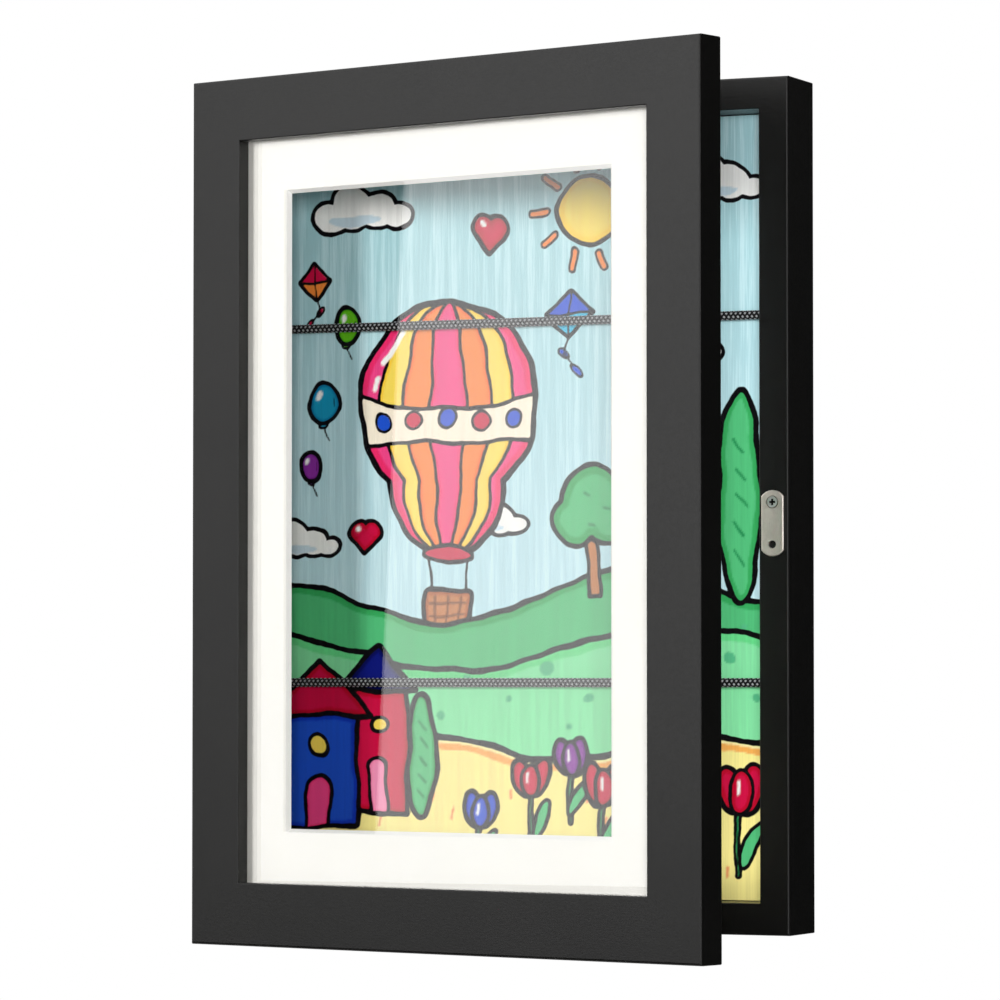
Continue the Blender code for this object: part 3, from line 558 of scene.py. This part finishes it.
screw_finish = plated("bright_zinc", (0.70, 0.69, 0.67), (0.92, 0.91, 0.89), 0.3, 0.45)
tree = screw_finish.node_tree
screw_low, screw_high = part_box("strike_screw")
screw_axis = (screw_low + screw_high) / 2
away = vectors(tree, "SUBTRACT", surface_point(tree), screw_axis.to_tuple())
away = add_node(tree, "ShaderNodeSeparateXYZ", {"Vector": away}).outputs
sideways = maths(tree, "ABSOLUTE", away["X"])
upwards = maths(tree, "ABSOLUTE", away["Z"])
longer = maths(tree, "MAXIMUM", sideways, upwards)
shorter = maths(tree, "MINIMUM", sideways, upwards)
inside_arm = fade(tree, longer, CROSS_ARM + CROSS_EDGE, CROSS_ARM)
beside_middle = fade(tree, shorter, CROSS_HALF_WIDTH + CROSS_EDGE, CROSS_HALF_WIDTH)
recess = maths(tree, "MULTIPLY", inside_arm, beside_middle)
tint = tree.nodes["Principled BSDF"].inputs["Base Color"]
# Painted shade: the colour turns near black inside the cross
connect(tint, mix_colours(tree, recess, tint.links[0].from_socket, PAINTED_RECESS_SHADE))
dress(screw_finish, "strike_screw")
print("screw dressed")

# %% Hardboard and rubber
BOARD_DARK, BOARD_PALE = (0.17, 0.098, 0.05, 1), (0.25, 0.155, 0.085, 1)
BOARD_FIBRE = (0.36, 0.25, 0.15, 1)
RUBBER_BLACK, RUBBER_DUST = (0.012, 0.012, 0.012, 1), (0.045, 0.044, 0.042, 1)

board_finish, tree, shader = new_finish("pressed_hardboard", Roughness=0.75)
point = surface_point(tree)
specks = use_group(tree, SPECKLE, {"Point": point, "Coarse": 35.0, "Fine": 900.0})
fibres = use_group(tree, STREAKS, {"Point": point, "Stretch": (350, 900, 160)})
brown = mix_colours(tree, specks["Clouds"], BOARD_DARK, BOARD_PALE)
pale = maths(tree, "MULTIPLY", fibres["Thin"], specks["Grains"])
connect(shader["Base Color"], mix_colours(tree, pale, brown, BOARD_FIBRE))
height = maths(tree, "ADD", fibres["Thin"], specks["Grains"])
raise_surface(tree, shader, height, relief=0.08 * MM)
dress(board_finish, "back_panel")

rubber_finish, tree, shader = new_finish("black_rubber")
specks = use_group(tree, SPECKLE, {"Point": surface_point(tree), "Coarse": 250.0, "Fine": 3000.0})
dust = maths(tree, "MULTIPLY", specks["Clouds"], 0.5)
connect(shader["Base Color"], mix_colours(tree, dust, RUBBER_BLACK, RUBBER_DUST))
connect(shader["Roughness"], fade(tree, specks["Grains"], 0, 1, 0.6, 0.85))
raise_surface(tree, shader, specks["Height"], relief=0.04 * MM)
dress(rubber_finish, *[name for name in nodes if name.startswith("wall_pad")])
print("hardboard back and rubber bumpers")

# %% [markdown]
# ## Painted mitres
#
# The rails meet at 45 degrees. Glue and paint close those joints on the real frame, while the
# construction file leaves a hair's breadth between its solids. Each joint gets a sliver of
# painted wood: a copy of the face that the mitre cut left on one rail, pushed across the gap.


# %% Fill the mitres
SLIVER_THICKNESS = 0.3 * MM


def mitre_faces(name, turn):
    """The two cut ends of a rail, as a mesh of their own. Turn takes world to shut directions."""
    ends = bmesh.new()
    ends.from_mesh(nodes[name].data)
    bmesh.ops.remove_doubles(ends, verts=ends.verts, dist=0.001 * MM)
    ends.normal_update()
    other = []
    for face in ends.faces:
        # A cut end faces sideways as much as up or down
        normal = turn @ face.normal
        slanted = abs(abs(normal.x) - abs(normal.z)) < 0.02 and abs(normal.y) < 0.02
        if not (slanted and abs(normal.x) > 0.6):
            other.append(face)
    bmesh.ops.delete(ends, geom=other, context="FACES")
    return ends


def fill_mitres(body, turn):
    """Closes the four mitres of the case or the door."""
    joined = bmesh.new()
    for name in (f"{body}_top_rail", f"{body}_bottom_rail"):
        ends = mitre_faces(name, turn)
        bmesh.ops.dissolve_limit(ends, angle_limit=0.01, verts=ends.verts, edges=ends.edges)
        joined.from_mesh(mesh_from(ends, "cut_faces"))
    for face in list(joined.faces):
        away = face.normal.copy()
        moved = bmesh.ops.extrude_face_region(joined, geom=[face], use_keep_orig=True)["geom"]
        far_side = [item for item in moved if isinstance(item, bmesh.types.BMVert)]
        bmesh.ops.translate(joined, verts=far_side, vec=away * SLIVER_THICKNESS)
    bmesh.ops.recalc_face_normals(joined, faces=joined.faces)
    filler = mesh_from(joined, f"{body}_mitre_filler")
    filler.materials.append(rail_paint)
    piece = place_in_scene(filler)
    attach(piece, body)
    print(filler.name, len(filler.polygons), "faces")


fill_mitres("case", Matrix.Identity(3))
fill_mitres("door", DOOR_TURN.to_3x3().inverted())

# %% [markdown]
# ## Elastic cords
#
# The cords are braided from eight strands round a rubber core. Four strands wind one way and
# four the other, and each goes over one and under the next. A strand is a flat tube made from a
# grid: one direction of the grid runs along the cord while the other wraps round the strand.
# The tube winds on a radius that rises and falls as it passes over and under. One strand of
# each kind is modelled, and three turned copies complete the set.

# %% Braid measures
BRAID_TURN = 7.6 * MM  # length in which a strand goes once round
BRAID_RADIUS = 1.33 * MM
BRAID_RISE = 0.26 * MM
STRAND_HALF_WIDTH = 0.62 * MM
STRAND_HALF_THICKNESS = 0.31 * MM
STRANDS_EACH_WAY = 4
STRAND_SIDES = 6
RINGS_A_TURN = 28
FRONT_ANGLE = math.pi  # the side of a cord that faces the door
CORD_RADIUS = (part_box("upper_cord")[1].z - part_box("upper_cord")[0].z) / 2
BRAID_REACH = BRAID_RADIUS + BRAID_RISE + STRAND_HALF_THICKNESS
print(f"braid reaches {BRAID_REACH / MM:.2f} mm, cord radius {CORD_RADIUS / MM:.2f} mm")


# %% Braid a cord
def add_strand(braid, length, way):
    """A strand that winds one way round X, with its copies. Way is 1 or -1."""
    rings = round(length / BRAID_TURN * RINGS_A_TURN)
    strand = bmesh.new()
    bmesh.ops.create_grid(strand, x_segments=rings, y_segments=STRAND_SIDES, size=0.5)
    for vert in strand.verts:
        along = vert.co.x * length
        wrap = (vert.co.y + 0.5) * math.tau
        turn = way * along / BRAID_TURN * math.tau + FRONT_ANGLE + math.pi / 8
        wave = math.cos(2 * STRANDS_EACH_WAY * along / BRAID_TURN * math.pi)
        radius = BRAID_RADIUS + way * BRAID_RISE * wave
        outward = Vector((0, math.cos(turn), math.sin(turn)))
        sideways = Vector((0, -math.sin(turn), math.cos(turn)))
        slant = math.tau * radius / BRAID_TURN
        across = (Vector((-way * slant, 0, 0)) + sideways).normalized()
        middle = Vector((along, 0, 0)) + outward * radius
        width = across * math.cos(wrap) * STRAND_HALF_WIDTH
        vert.co = middle + width + outward * math.sin(wrap) * STRAND_HALF_THICKNESS
    bmesh.ops.remove_doubles(strand, verts=strand.verts, dist=0.002 * MM)
    bmesh.ops.holes_fill(strand, edges=strand.edges, sides=STRAND_SIDES)
    bmesh.ops.recalc_face_normals(strand, faces=strand.faces)
    one = mesh_from(strand, "strand")
    for number in range(STRANDS_EACH_WAY):
        before = len(braid.verts)
        braid.from_mesh(one)
        braid.verts.ensure_lookup_table()
        turn = Matrix.Rotation(math.tau * number / STRANDS_EACH_WAY, 3, "X")
        bmesh.ops.rotate(braid, verts=braid.verts[before:], cent=(0, 0, 0), matrix=turn)


def braided_cord(name):
    """Both kinds of strand round a plain core, in place of one of the model's rods."""
    low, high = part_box(name)
    middle = (low + high) / 2
    length = high.x - low.x
    braid = bmesh.new()
    add_strand(braid, length, 1)
    add_strand(braid, length, -1)
    bmesh.ops.create_cone(
        braid,
        cap_ends=True,
        segments=16,
        radius1=BRAID_RADIUS,
        radius2=BRAID_RADIUS,
        depth=length - 1 * MM,
        matrix=Matrix.Rotation(math.pi / 2, 4, "Y"),
    )
    bmesh.ops.translate(braid, verts=braid.verts, vec=middle)
    mesh = mesh_from(braid, f"{name}_braid")
    mesh.shade_smooth()
    mesh.materials.append(cord_finish(name, middle))
    cord = place_in_scene(mesh)
    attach(cord, "case")
    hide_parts(name)
    print(f"{mesh.name}: {len(mesh.polygons)} faces, {length / MM:.0f} mm long")


# %% [markdown]
# The yarn is black. Each strand's crown, where it passes over its neighbour, gets a painted
# highlight: the finish measures how far a point is from the cord's own axis, so the crowns come
# out pale and the valleys stay dark, and fine streaks along the cord stand for single threads.


# %% Cord finish
# Black yarn, and the pale grey of the painted highlight on each strand's crown
YARN_BLACK, PAINTED_CROWN_HIGHLIGHT = (0.004, 0.004, 0.005, 1), (0.58, 0.59, 0.62, 1)
CROWN_START, CROWN_END = BRAID_REACH * 0.89, BRAID_REACH * 0.97  # from the cord's axis


def cord_finish(name, middle):
    material, tree, shader = new_finish(f"{name}_yarn", Roughness=0.75, Specular_IOR_Level=0.3)
    point = surface_point(tree)
    offset = vectors(tree, "SUBTRACT", point, middle.to_tuple())
    offset = vectors(tree, "MULTIPLY", offset, (0, 1, 1))
    radius = vectors(tree, "LENGTH", offset, output="Value")
    # Painted highlight: pale where the braid reaches furthest from the cord's axis
    crown = fade(tree, radius, CROWN_START, CROWN_END)
    threads = use_group(tree, STREAKS, {"Point": point, "Stretch": (500, 3500, 3500)})
    share = maths(tree, "MULTIPLY", crown, fade(tree, threads["Thin"], 0, 1, 0.55, 1.0))
    connect(shader["Base Color"], mix_colours(tree, share, YARN_BLACK, PAINTED_CROWN_HIGHLIGHT))
    raise_surface(tree, shader, threads["Thin"], relief=0.06 * MM)
    return material


for cord_name in ("upper_cord", "lower_cord"):
    braided_cord(cord_name)

# %% [markdown]
# ## The drawing
#
# A child's felt-tip picture fills the sheet: a hot-air balloon over green hills, with two little
# houses, trees, kites and tulips. It could be a texture made of nodes, but so many shapes make
# a material that renders slowly. Here the picture is worked out once, at the points of a fine
# mesh. Each shape is a distance in millimetres from its outline, negative inside, so that
# one number gives both the coloured area and the black line round it. Numpy does the sum for all
# points together, and the shapes are laid over each other, the furthest first.

# %% Pens
def pen(red, green, blue):
    """A colour from its everyday 0 to 255 values, made linear."""
    return (np.array((red, green, blue)) / 255) ** 2.2


CRIMSON = pen(206, 22, 70)
PINK = pen(244, 74, 140)
ROSE = pen(250, 150, 190)
ORANGE = pen(248, 140, 62)
YELLOW = pen(255, 224, 96)
CREAM = pen(255, 243, 222)
SAND = pen(250, 240, 170)
MINT = pen(134, 228, 166)
GREEN = pen(84, 190, 124)
LEAF = pen(38, 140, 84)
LIME = pen(104, 196, 36)
TEAL = pen(30, 150, 190)
AQUA = pen(60, 190, 226)
BLUE = pen(36, 84, 208)
NAVY = pen(18, 28, 120)
PURPLE = pen(140, 52, 160)
WHITE = pen(252, 252, 250)
BROWN = pen(196, 126, 72)
WICKER = pen(120, 66, 30)
FLAME = pen(240, 150, 100)
SKY_LOW = pen(196, 232, 242)
SKY_HIGH = pen(172, 218, 226)
PALE_SKY = pen(214, 240, 246)
CLOUD_SHADE = pen(206, 226, 238)
SPOT_GREEN = pen(88, 186, 136)
DEEP_SAND = pen(252, 238, 150)
SAND_EDGE = pen(248, 176, 90)
INK = pen(14, 12, 16)
print("pens ready")

# %% [markdown]
# The drawing keeps three things for each point: the felt-tip's colour, whether the sky is still
# bare there, and how far the nearest black line is. Between the points Blender blends such
# values evenly. A blended colour is blurred, but a blended distance still passes zero at one
# sharp place, so the black lines come out crisp, and they cover the seams between the colours.


# %% Drawing hand
def ramp(value, start, end):
    """0 before start, 1 after end, and smooth in between."""
    share = np.clip((value - start) / (end - start), 0, 1)
    return share * share * (3 - 2 * share)


class Drawing:
    """A picture on the sheet, in millimetres from its middle, laid down from back to front."""

    def __init__(self, u, v):
        # Slow waves bend the lines as a child's hand does, and quick ones make them tremble
        bend_u = 0.7 * np.sin(0.17 * v + 0.11 * u) + 0.25 * np.sin(0.41 * v - 0.23 * u + 1)
        bend_v = 0.7 * np.sin(0.16 * u - 0.12 * v + 2) + 0.25 * np.sin(0.39 * u + 0.26 * v)
        self.u = u + bend_u + 0.07 * np.sin(1.1 * v + 0.7 * u) + 0.04 * np.sin(2.7 * v - u)
        self.v = v + bend_v + 0.07 * np.sin(1.2 * u - 0.6 * v) + 0.04 * np.sin(2.5 * u + v)
        height = ramp(v, -60, 140)[:, None]
        self.colour = SKY_LOW * (1 - height) + SKY_HIGH * height
        self.bare = np.ones(len(u))
        self.line = np.full(len(u), 9.0)

    def placed(self, u, v, turn):
        """The points as seen from a shape's centre, turned back by the shape's own turn."""
        across, up = self.u - u, self.v - v
        cosine, sine = math.cos(turn), math.sin(turn)
        return across * cosine + up * sine, up * cosine - across * sine

    def oval(self, u, v, across, up, turn=0.0):
        x, y = self.placed(u, v, turn)
        near = np.hypot(x / across, y / up)
        slope = np.hypot(x / across**2, y / up**2)
        return near * (near - 1) / np.maximum(slope, 0.001)

    def block(self, u, v, across, up, turn=0.0, corner=0.0):
        x, y = np.abs(self.placed(u, v, turn))
        x, y = x - across + corner, y - up + corner
        outside = np.hypot(np.maximum(x, 0), np.maximum(y, 0))
        return outside + np.minimum(np.maximum(x, y), 0) - corner

    def stroke(self, u, v, to_u, to_v, thick):
        x, y = self.u - u, self.v - v
        run_u, run_v = to_u - u, to_v - v
        share = np.clip((x * run_u + y * run_v) / (run_u**2 + run_v**2), 0, 1)
        return np.hypot(x - share * run_u, y - share * run_v) - thick

    def ridge(self, height, swell, length, start, slope=0.0):
        wave = np.sin((self.u - start) / length * math.tau)
        return self.v - height - swell * wave - slope * self.u

    def above(self, height):
        return height - self.v

    def fill(self, distance, colour, line, band=0.0):
        """Lays a colour inside an outline, deeper along its edge, with a black line round it."""
        rim = 0.7 * ramp(distance + band, -0.4, 0.4)[:, None]
        laid = colour * (1 - rim) + colour**1.7 * rim
        covered = ramp(-distance, -0.3, 0.3)
        self.colour += (laid - self.colour) * covered[:, None]
        self.bare *= 1 - covered
        self.line = np.maximum(self.line, -distance)
        if line > 0:
            self.line = np.minimum(self.line, np.abs(distance) - line / 2)

    def dash(self, u, v, to_u, to_v, thick, colour):
        self.fill(self.stroke(u, v, to_u, to_v, thick), colour, line=0)

    def thin_line(self, u, v, to_u, to_v, thick):
        self.line = np.minimum(self.line, self.stroke(u, v, to_u, to_v, thick))


def join(*distances):
    return np.minimum.reduce(distances)


def overlap(*distances):
    return np.maximum.reduce(distances)


print("drawing hand ready")


# %% Sky shapes
def cloud(picture, u, v, size):
    puffs = [(-1.25, -0.1, 0.7, 0.5), (-0.45, 0.25, 0.8, 0.75)]
    puffs += [(0.45, 0.1, 0.75, 0.65), (1.2, -0.15, 0.6, 0.42)]
    ovals = [picture.oval(u + a * size, v + b * size, c * size, d * size) for a, b, c, d in puffs]
    picture.fill(join(*ovals), WHITE, line=1.7)
    shade = picture.oval(u - 0.4 * size, v - 0.2 * size, size, 0.18 * size)
    picture.fill(shade, CLOUD_SHADE, line=0)


def heart(picture, u, v, size, colour):
    left = picture.oval(u - 0.42 * size, v + 0.32 * size, 0.6 * size, 0.6 * size)
    right = picture.oval(u + 0.42 * size, v + 0.32 * size, 0.6 * size, 0.6 * size)
    tip = picture.block(u, v - 0.12 * size, 0.62 * size, 0.62 * size, math.pi / 4, 0.1 * size)
    picture.fill(join(left, right, tip), colour, line=1.7, band=0.28 * size)
    glint = picture.oval(u - 0.45 * size, v + 0.45 * size, 0.14 * size, 0.2 * size, 0.5)
    picture.fill(glint, WHITE, line=0)


def kite(picture, u, v, size, first, second, lean):
    tail = [(u, v - size), (u - lean, v - 1.7 * size), (u + lean, v - 2.4 * size)]
    for start, end in zip(tail, tail[1:]):
        picture.thin_line(*start, *end, 0.45)
        picture.fill(picture.oval(*end, 0.3 * size, 0.14 * size, lean), second, line=1.0)
    sail = picture.block(u, v, 0.72 * size, 0.72 * size, math.pi / 4, 0.5)
    picture.fill(sail, first, line=1.7)
    picture.fill(overlap(sail, picture.above(v)), second, line=1.1)
    picture.thin_line(u, v - size, u, v + size, 0.4)


def toy_balloon(picture, u, v, size, colour):
    picture.thin_line(u, v - 1.2 * size, u + 0.4 * size, v - 2.1 * size, 0.4)
    picture.fill(picture.oval(u, v - 1.2 * size, 0.22 * size, 0.18 * size), colour, line=1.1)
    picture.fill(picture.oval(u, v, 0.86 * size, 1.1 * size), colour, line=1.8, band=0.22 * size)
    glint = picture.oval(u - 0.32 * size, v + 0.42 * size, 0.16 * size, 0.26 * size, -0.4)
    picture.fill(glint, WHITE, line=0)
    picture.thin_line(u + 0.5 * size, v + 0.3 * size, u + 0.5 * size, v - 0.3 * size, 0.3)


# Millimetres to the right of the sheet's middle and above it, then a size
SUN = (30, 116)
CLOUDS = [(-66, 118, 12), (66, 62, 11), (-12, -4, 9), (84, 124, 11), (-92, -12, 9)]
HEARTS = [(-12, 108, 7.5, CRIMSON), (-66, -10, 6.5, CRIMSON), (74, 20, 8, PINK)]
KITES = [(22, 76, 9.5, AQUA, BLUE, 2.5), (-88, 92, 7.5, ORANGE, CRIMSON, -2)]
KITES += [(62, 104, 9, LIME, TEAL, 2)]
TOY_BALLOONS = [(-84, 44, 7.5, TEAL), (-90, 18, 5.5, PURPLE), (-74, 74, 6, LIME)]
TOY_BALLOONS += [(50, 28, 7, ORANGE)]


def draw_sky(picture):
    for number in range(10):
        turn = math.tau * number / 10
        near, far = [(SUN[0] + r * math.cos(turn), SUN[1] + r * math.sin(turn)) for r in (17, 23)]
        picture.fill(picture.stroke(*near, *far, 1.4), ORANGE, line=1.0)
    picture.fill(picture.oval(*SUN, 13, 13), YELLOW, line=1.9, band=3.0)
    motifs = ((cloud, CLOUDS), (heart, HEARTS), (kite, KITES), (toy_balloon, TOY_BALLOONS))
    for motif, places in motifs:
        for place in places:
            motif(picture, *place)


print(len(CLOUDS), "clouds,", len(HEARTS), "hearts,", len(KITES), "kites")

# %% Hot-air balloon
BALLOON_U, BALLOON_V = -30, 42


def envelope(picture, share):
    """The balloon's outline, or a narrower one inside it whose edge is a seam between gores."""
    top = picture.oval(BALLOON_U, BALLOON_V, 38 * share, 40)
    mouth = picture.oval(BALLOON_U, BALLOON_V - 26, 25 * share, 34)
    return join(top, mouth)


def draw_balloon(picture):
    whole = envelope(picture, 1.0)
    picture.fill(whole, PINK, line=2.3, band=3.5)
    for share, colour in ((0.76, YELLOW), (0.5, ORANGE), (0.2, PINK)):
        picture.fill(overlap(envelope(picture, share), whole), colour, line=1.3, band=1.6)
    belt = overlap(envelope(picture, 0.99), picture.ridge(BALLOON_V + 3, -5, 152, BALLOON_U - 38))
    belt = overlap(belt, picture.above(BALLOON_V - 15))
    picture.fill(belt, CREAM, line=1.6)
    for number in range(-2, 3):
        place = (BALLOON_U + 14 * number, BALLOON_V - 6 - abs(number) * 0.2)
        picture.fill(picture.oval(*place, 3.6, 3.6), CRIMSON if number % 2 else BLUE, line=1.1)
    picture.dash(-58, 58, -49, 70, 1.1, WHITE)
    picture.dash(-61, 48, -60, 52, 1.0, WHITE)
    for side in (-1, 1):
        picture.thin_line(BALLOON_U + 9 * side, -16, BALLOON_U + 7 * side, -32, 0.55)
    picture.fill(picture.oval(BALLOON_U, -17, 11, 3), CRIMSON, line=1.6)
    picture.fill(picture.block(BALLOON_U, -38, 9.5, 7.5, 0, 2), BROWN, line=1.9, band=2)
    for row in (-35.5, -40.5):
        picture.dash(BALLOON_U - 7, row, BALLOON_U + 7, row, 0.4, WICKER)
    for column in (-5, 0, 5):
        picture.dash(BALLOON_U + column, -43, BALLOON_U + column, -33, 0.4, WICKER)


# %% Hills and trees
def round_tree(picture, u, v, size):
    picture.fill(picture.block(u, v - 1.5 * size, 0.16 * size, 0.8 * size, 0, 0.5), BROWN, line=1.6)
    crown = [(0, 0.2, 0.9), (-0.5, -0.3, 0.62), (0.5, -0.3, 0.62)]
    ovals = [picture.oval(u + a * size, v + b * size, c * size, c * size) for a, b, c in crown]
    picture.fill(join(*ovals), GREEN, line=2.0, band=0.24 * size)
    for a, b in ((-0.3, 0.4), (0.25, 0.1), (-0.1, -0.35), (0.55, -0.3)):
        start, end = (u + a * size, v + b * size), (u + (a + 0.16) * size, v + (b - 0.05) * size)
        picture.dash(*start, *end, 0.5, LEAF)


def cypress(picture, u, v, across, up):
    picture.fill(picture.oval(u, v, across, up), GREEN, line=2.2, band=0.35 * across)
    for step in range(5):
        z = v + up * (0.55 - 0.27 * step)
        picture.dash(u - 0.2 * across, z, u + 0.25 * across, z - 0.12 * up, 0.5, LEAF)


SPOTS = [(-22, -66, 2.2), (-4, -74, 1.4), (12, -62, 2.8), (30, -73, 2.0), (46, -60, 1.5)]
SPOTS += [(64, -68, 2.6), (88, -58, 2.5), (98, -72, 1.6), (-32, -80, 1.6), (22, -84, 1.3)]
SPOTS += [(78, -80, 1.8), (94, -46, 1.2)]


def draw_hills(picture):
    picture.fill(picture.ridge(-34, 9, 150, 8, 0.03), GREEN, line=2.2, band=3.5)
    round_tree(picture, 32, 0, 15)
    cypress(picture, 58, -8, 8, 30)
    cypress(picture, 92, 4, 9, 40)
    picture.fill(picture.ridge(-54, 8, 175, 20, 0.02), MINT, line=2.3, band=4.0)
    for u, v, size in SPOTS:
        picture.fill(picture.oval(u, v, size, size), SPOT_GREEN, line=0)
    picture.fill(picture.ridge(-92, 5, 118, -70), SAND, line=2.4)
    seam = picture.ridge(-95.5, 5, 118, -70)
    picture.fill(seam, DEEP_SAND, line=0)
    picture.fill(np.abs(seam) - 1.3, SAND_EDGE, line=0)
    for number in range(26):
        u, v = -100 + 8.1 * number, -108 - 9 * (number * 5 % 4) - number % 3
        picture.dash(u, v, u - 0.4, v - 3.2, 0.45, FLAME)


print(len(SPOTS), "spots on the near hill")


# %% House and tulips
def house(picture, u, base, across, up, wall, roof):
    picture.fill(picture.block(u, base + up, across, up, 0, 0.8), wall, line=2.1, band=2.4)
    gable = picture.block(u, base + 2 * up, 0.95 * across, 0.95 * across, math.pi / 4, 0.8)
    picture.fill(overlap(gable, picture.above(base + 2 * up)), roof, line=2.1, band=2.4)
    picture.fill(picture.oval(u, base + 1.45 * up, 0.26 * across, 0.24 * across), YELLOW, line=1.6)
    door = join(
        picture.block(u, base + 0.36 * up, 0.3 * across, 0.36 * up),
        picture.oval(u, base + 0.72 * up, 0.3 * across, 0.3 * across),
    )
    picture.fill(door, ROSE if wall is CRIMSON else PINK, line=1.6, band=1.2)


def tulip(picture, u, v, size, colour, lean):
    picture.fill(picture.stroke(u, v - 0.6 * size, u - lean, v - 3.2 * size, 0.9), LEAF, line=1.2)
    leaf = picture.oval(u + 0.5 * size, v - 2.0 * size, 0.28 * size, 1.0 * size, -0.5)
    picture.fill(leaf, GREEN, line=1.5)
    left = picture.oval(u - 0.42 * size, v, 0.5 * size, 0.98 * size, 0.3)
    right = picture.oval(u + 0.42 * size, v, 0.5 * size, 0.98 * size, -0.3)
    picture.fill(join(left, right), colour, line=1.8, band=0.25 * size)
    middle = picture.oval(u, v - 0.12 * size, 0.46 * size, 0.86 * size)
    picture.fill(middle, colour, line=1.5, band=0.2 * size)
    picture.dash(u - 0.12 * size, v + 0.3 * size, u - 0.14 * size, v - 0.2 * size, 0.5, WHITE)


TULIPS = [(6, -104, 8, CRIMSON, 1.5), (22, -96, 7.5, PURPLE, -1), (36, -106, 8.5, CRIMSON, 1)]
TULIPS += [(-16, -116, 7, BLUE, 1), (58, -104, 8, PINK, -1.5), (74, -112, 7, BLUE, 1)]
TULIPS += [(92, -108, 10, CRIMSON, 1.5)]


def draw_garden(picture):
    house(picture, -60, -118, 13, 24, CRIMSON, NAVY)
    house(picture, -86, -124, 17, 22, BLUE, CRIMSON)
    cypress(picture, -41, -96, 6, 24)
    for place in TULIPS:
        tulip(picture, *place)


def draw(u, v):
    picture = Drawing(np.array(u), np.array(v))
    for part in (draw_sky, draw_balloon, draw_hills, draw_garden):
        part(picture)
    return picture


print(len(TULIPS), "tulips")

# %% [markdown]
# ## The sheet
#
# The sheet starts as a grid. Plain areas need few points, so only the cells that a line or an
# edge of colour passes through are divided once more. Then the rim is drawn back by the paper's
# thickness, and one face closes the back.

# %% Sheet mesh
CELL = 1.3  # mm, before the busy cells are divided
COLOUR_STEP = 0.06  # a difference in colour that makes a cell busy

width, height = SHEET_SIZE.x / MM, SHEET_SIZE.z / MM
sheet = bmesh.new()
bmesh.ops.create_grid(
    sheet, x_segments=round(width / CELL), y_segments=round(height / CELL), size=0.5
)
bmesh.ops.scale(sheet, verts=sheet.verts, vec=(width, height, 1))
sheet.verts.index_update()
draft = draw([v.co.x for v in sheet.verts], [v.co.y for v in sheet.verts])
corners = np.array([[v.index for v in face.verts] for face in sheet.faces])
near_line = draft.line[corners].min(axis=1) < 0.5 * CELL
mixed = np.ptp(draft.colour[corners], axis=1).max(axis=1) > COLOUR_STEP
busy = near_line | mixed
divided = {edge for face, wanted in zip(sheet.faces, busy) if wanted for edge in face.edges}
bmesh.ops.subdivide_edges(sheet, edges=list(divided), cuts=1, use_grid_fill=True)
print(f"{busy.mean():.0%} of the cells are divided, {len(sheet.verts)} points")

rim = [edge for edge in sheet.edges if edge.is_boundary]
drawn_back = bmesh.ops.extrude_edge_only(sheet, edges=rim)["geom"]
back_rim = [item for item in drawn_back if isinstance(item, bmesh.types.BMVert)]
bmesh.ops.translate(sheet, verts=back_rim, vec=(0, 0, -SHEET_SIZE.y / MM))
bmesh.ops.holes_fill(sheet, edges=[edge for edge in sheet.edges if edge.is_boundary])
bmesh.ops.recalc_face_normals(sheet, faces=sheet.faces)

# %% Lay the colours on the sheet
upright = Matrix.Rotation(math.pi / 2, 4, "X")
front_middle = Vector((SHEET_CENTRE.x, SHEET_LOW.y, SHEET_CENTRE.z))
sheet_mesh = mesh_from(sheet, "artwork_sheet")
count = len(sheet_mesh.vertices)
flat = np.empty(count * 3)
sheet_mesh.vertices.foreach_get("co", flat)
u, v = flat.reshape(count, 3)[:, :2].T
picture = draw(u, v)
felt_tip = sheet_mesh.attributes.new("felt_tip", "FLOAT_COLOR", "POINT")
felt_tip.data.foreach_set("color", np.column_stack((picture.colour, picture.bare)).ravel())
black_line = sheet_mesh.attributes.new("black_line", "FLOAT", "POINT")
black_line.data.foreach_set("value", picture.line)
sheet_mesh.transform(Matrix.Translation(front_middle) @ upright @ Matrix.Scale(MM, 4))
artwork_sheet = place_in_scene(sheet_mesh)
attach(artwork_sheet, "case")
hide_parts("artwork")
print(count, "points coloured")

# %% [markdown]
# The finish reads all three back. Streaks that run up and down, as a broad pen leaves them,
# are added in the material: they are finer than the mesh, and they show best in the bare sky.

# %% Felt-tip finish
drawing_finish, tree, shader = new_finish("felt_tip_drawing", Specular_IOR_Level=0.1)
point = surface_point(tree)
pen_lines = use_group(tree, STREAKS, {"Point": point, "Stretch": (420, 420, 12)})
streak = maths(tree, "MULTIPLY", maths(tree, "ADD", pen_lines["Thin"], pen_lines["Broad"]), 0.5)
laid = add_node(tree, "ShaderNodeAttribute", attribute_name="felt_tip").outputs
line = add_node(tree, "ShaderNodeAttribute", attribute_name="black_line").outputs["Fac"]
thin_sky = maths(tree, "MULTIPLY", laid["Alpha"], fade(tree, streak, 0.35, 0.9, 0, 0.5))
colour = mix_colours(tree, thin_sky, laid["Color"], (*PALE_SKY, 1))
shine = fade(tree, streak, 0, 1, 0.93, 1.05)
shine = add_node(tree, "ShaderNodeCombineColor", {0: shine, 1: shine, 2: shine}).outputs[0]
colour = mix_colours(tree, 1.0, colour, shine, "MULTIPLY")
colour = mix_colours(tree, fade(tree, line, -0.2, 0.2, 1, 0), colour, (*INK, 1))
connect(shader["Base Color"], colour)
connect(shader["Roughness"], fade(tree, streak, 0, 1, 0.62, 0.78))
specks = use_group(tree, SPECKLE, {"Point": point, "Coarse": 25.0, "Fine": 1600.0})
height = maths(tree, "MULTIPLY_ADD", streak, 0.3, specks["Grains"])
raise_surface(tree, shader, height, relief=0.03 * MM, strength=0.6)
sheet_mesh.materials.append(drawing_finish)
print("drawing on", drawing_finish.name)
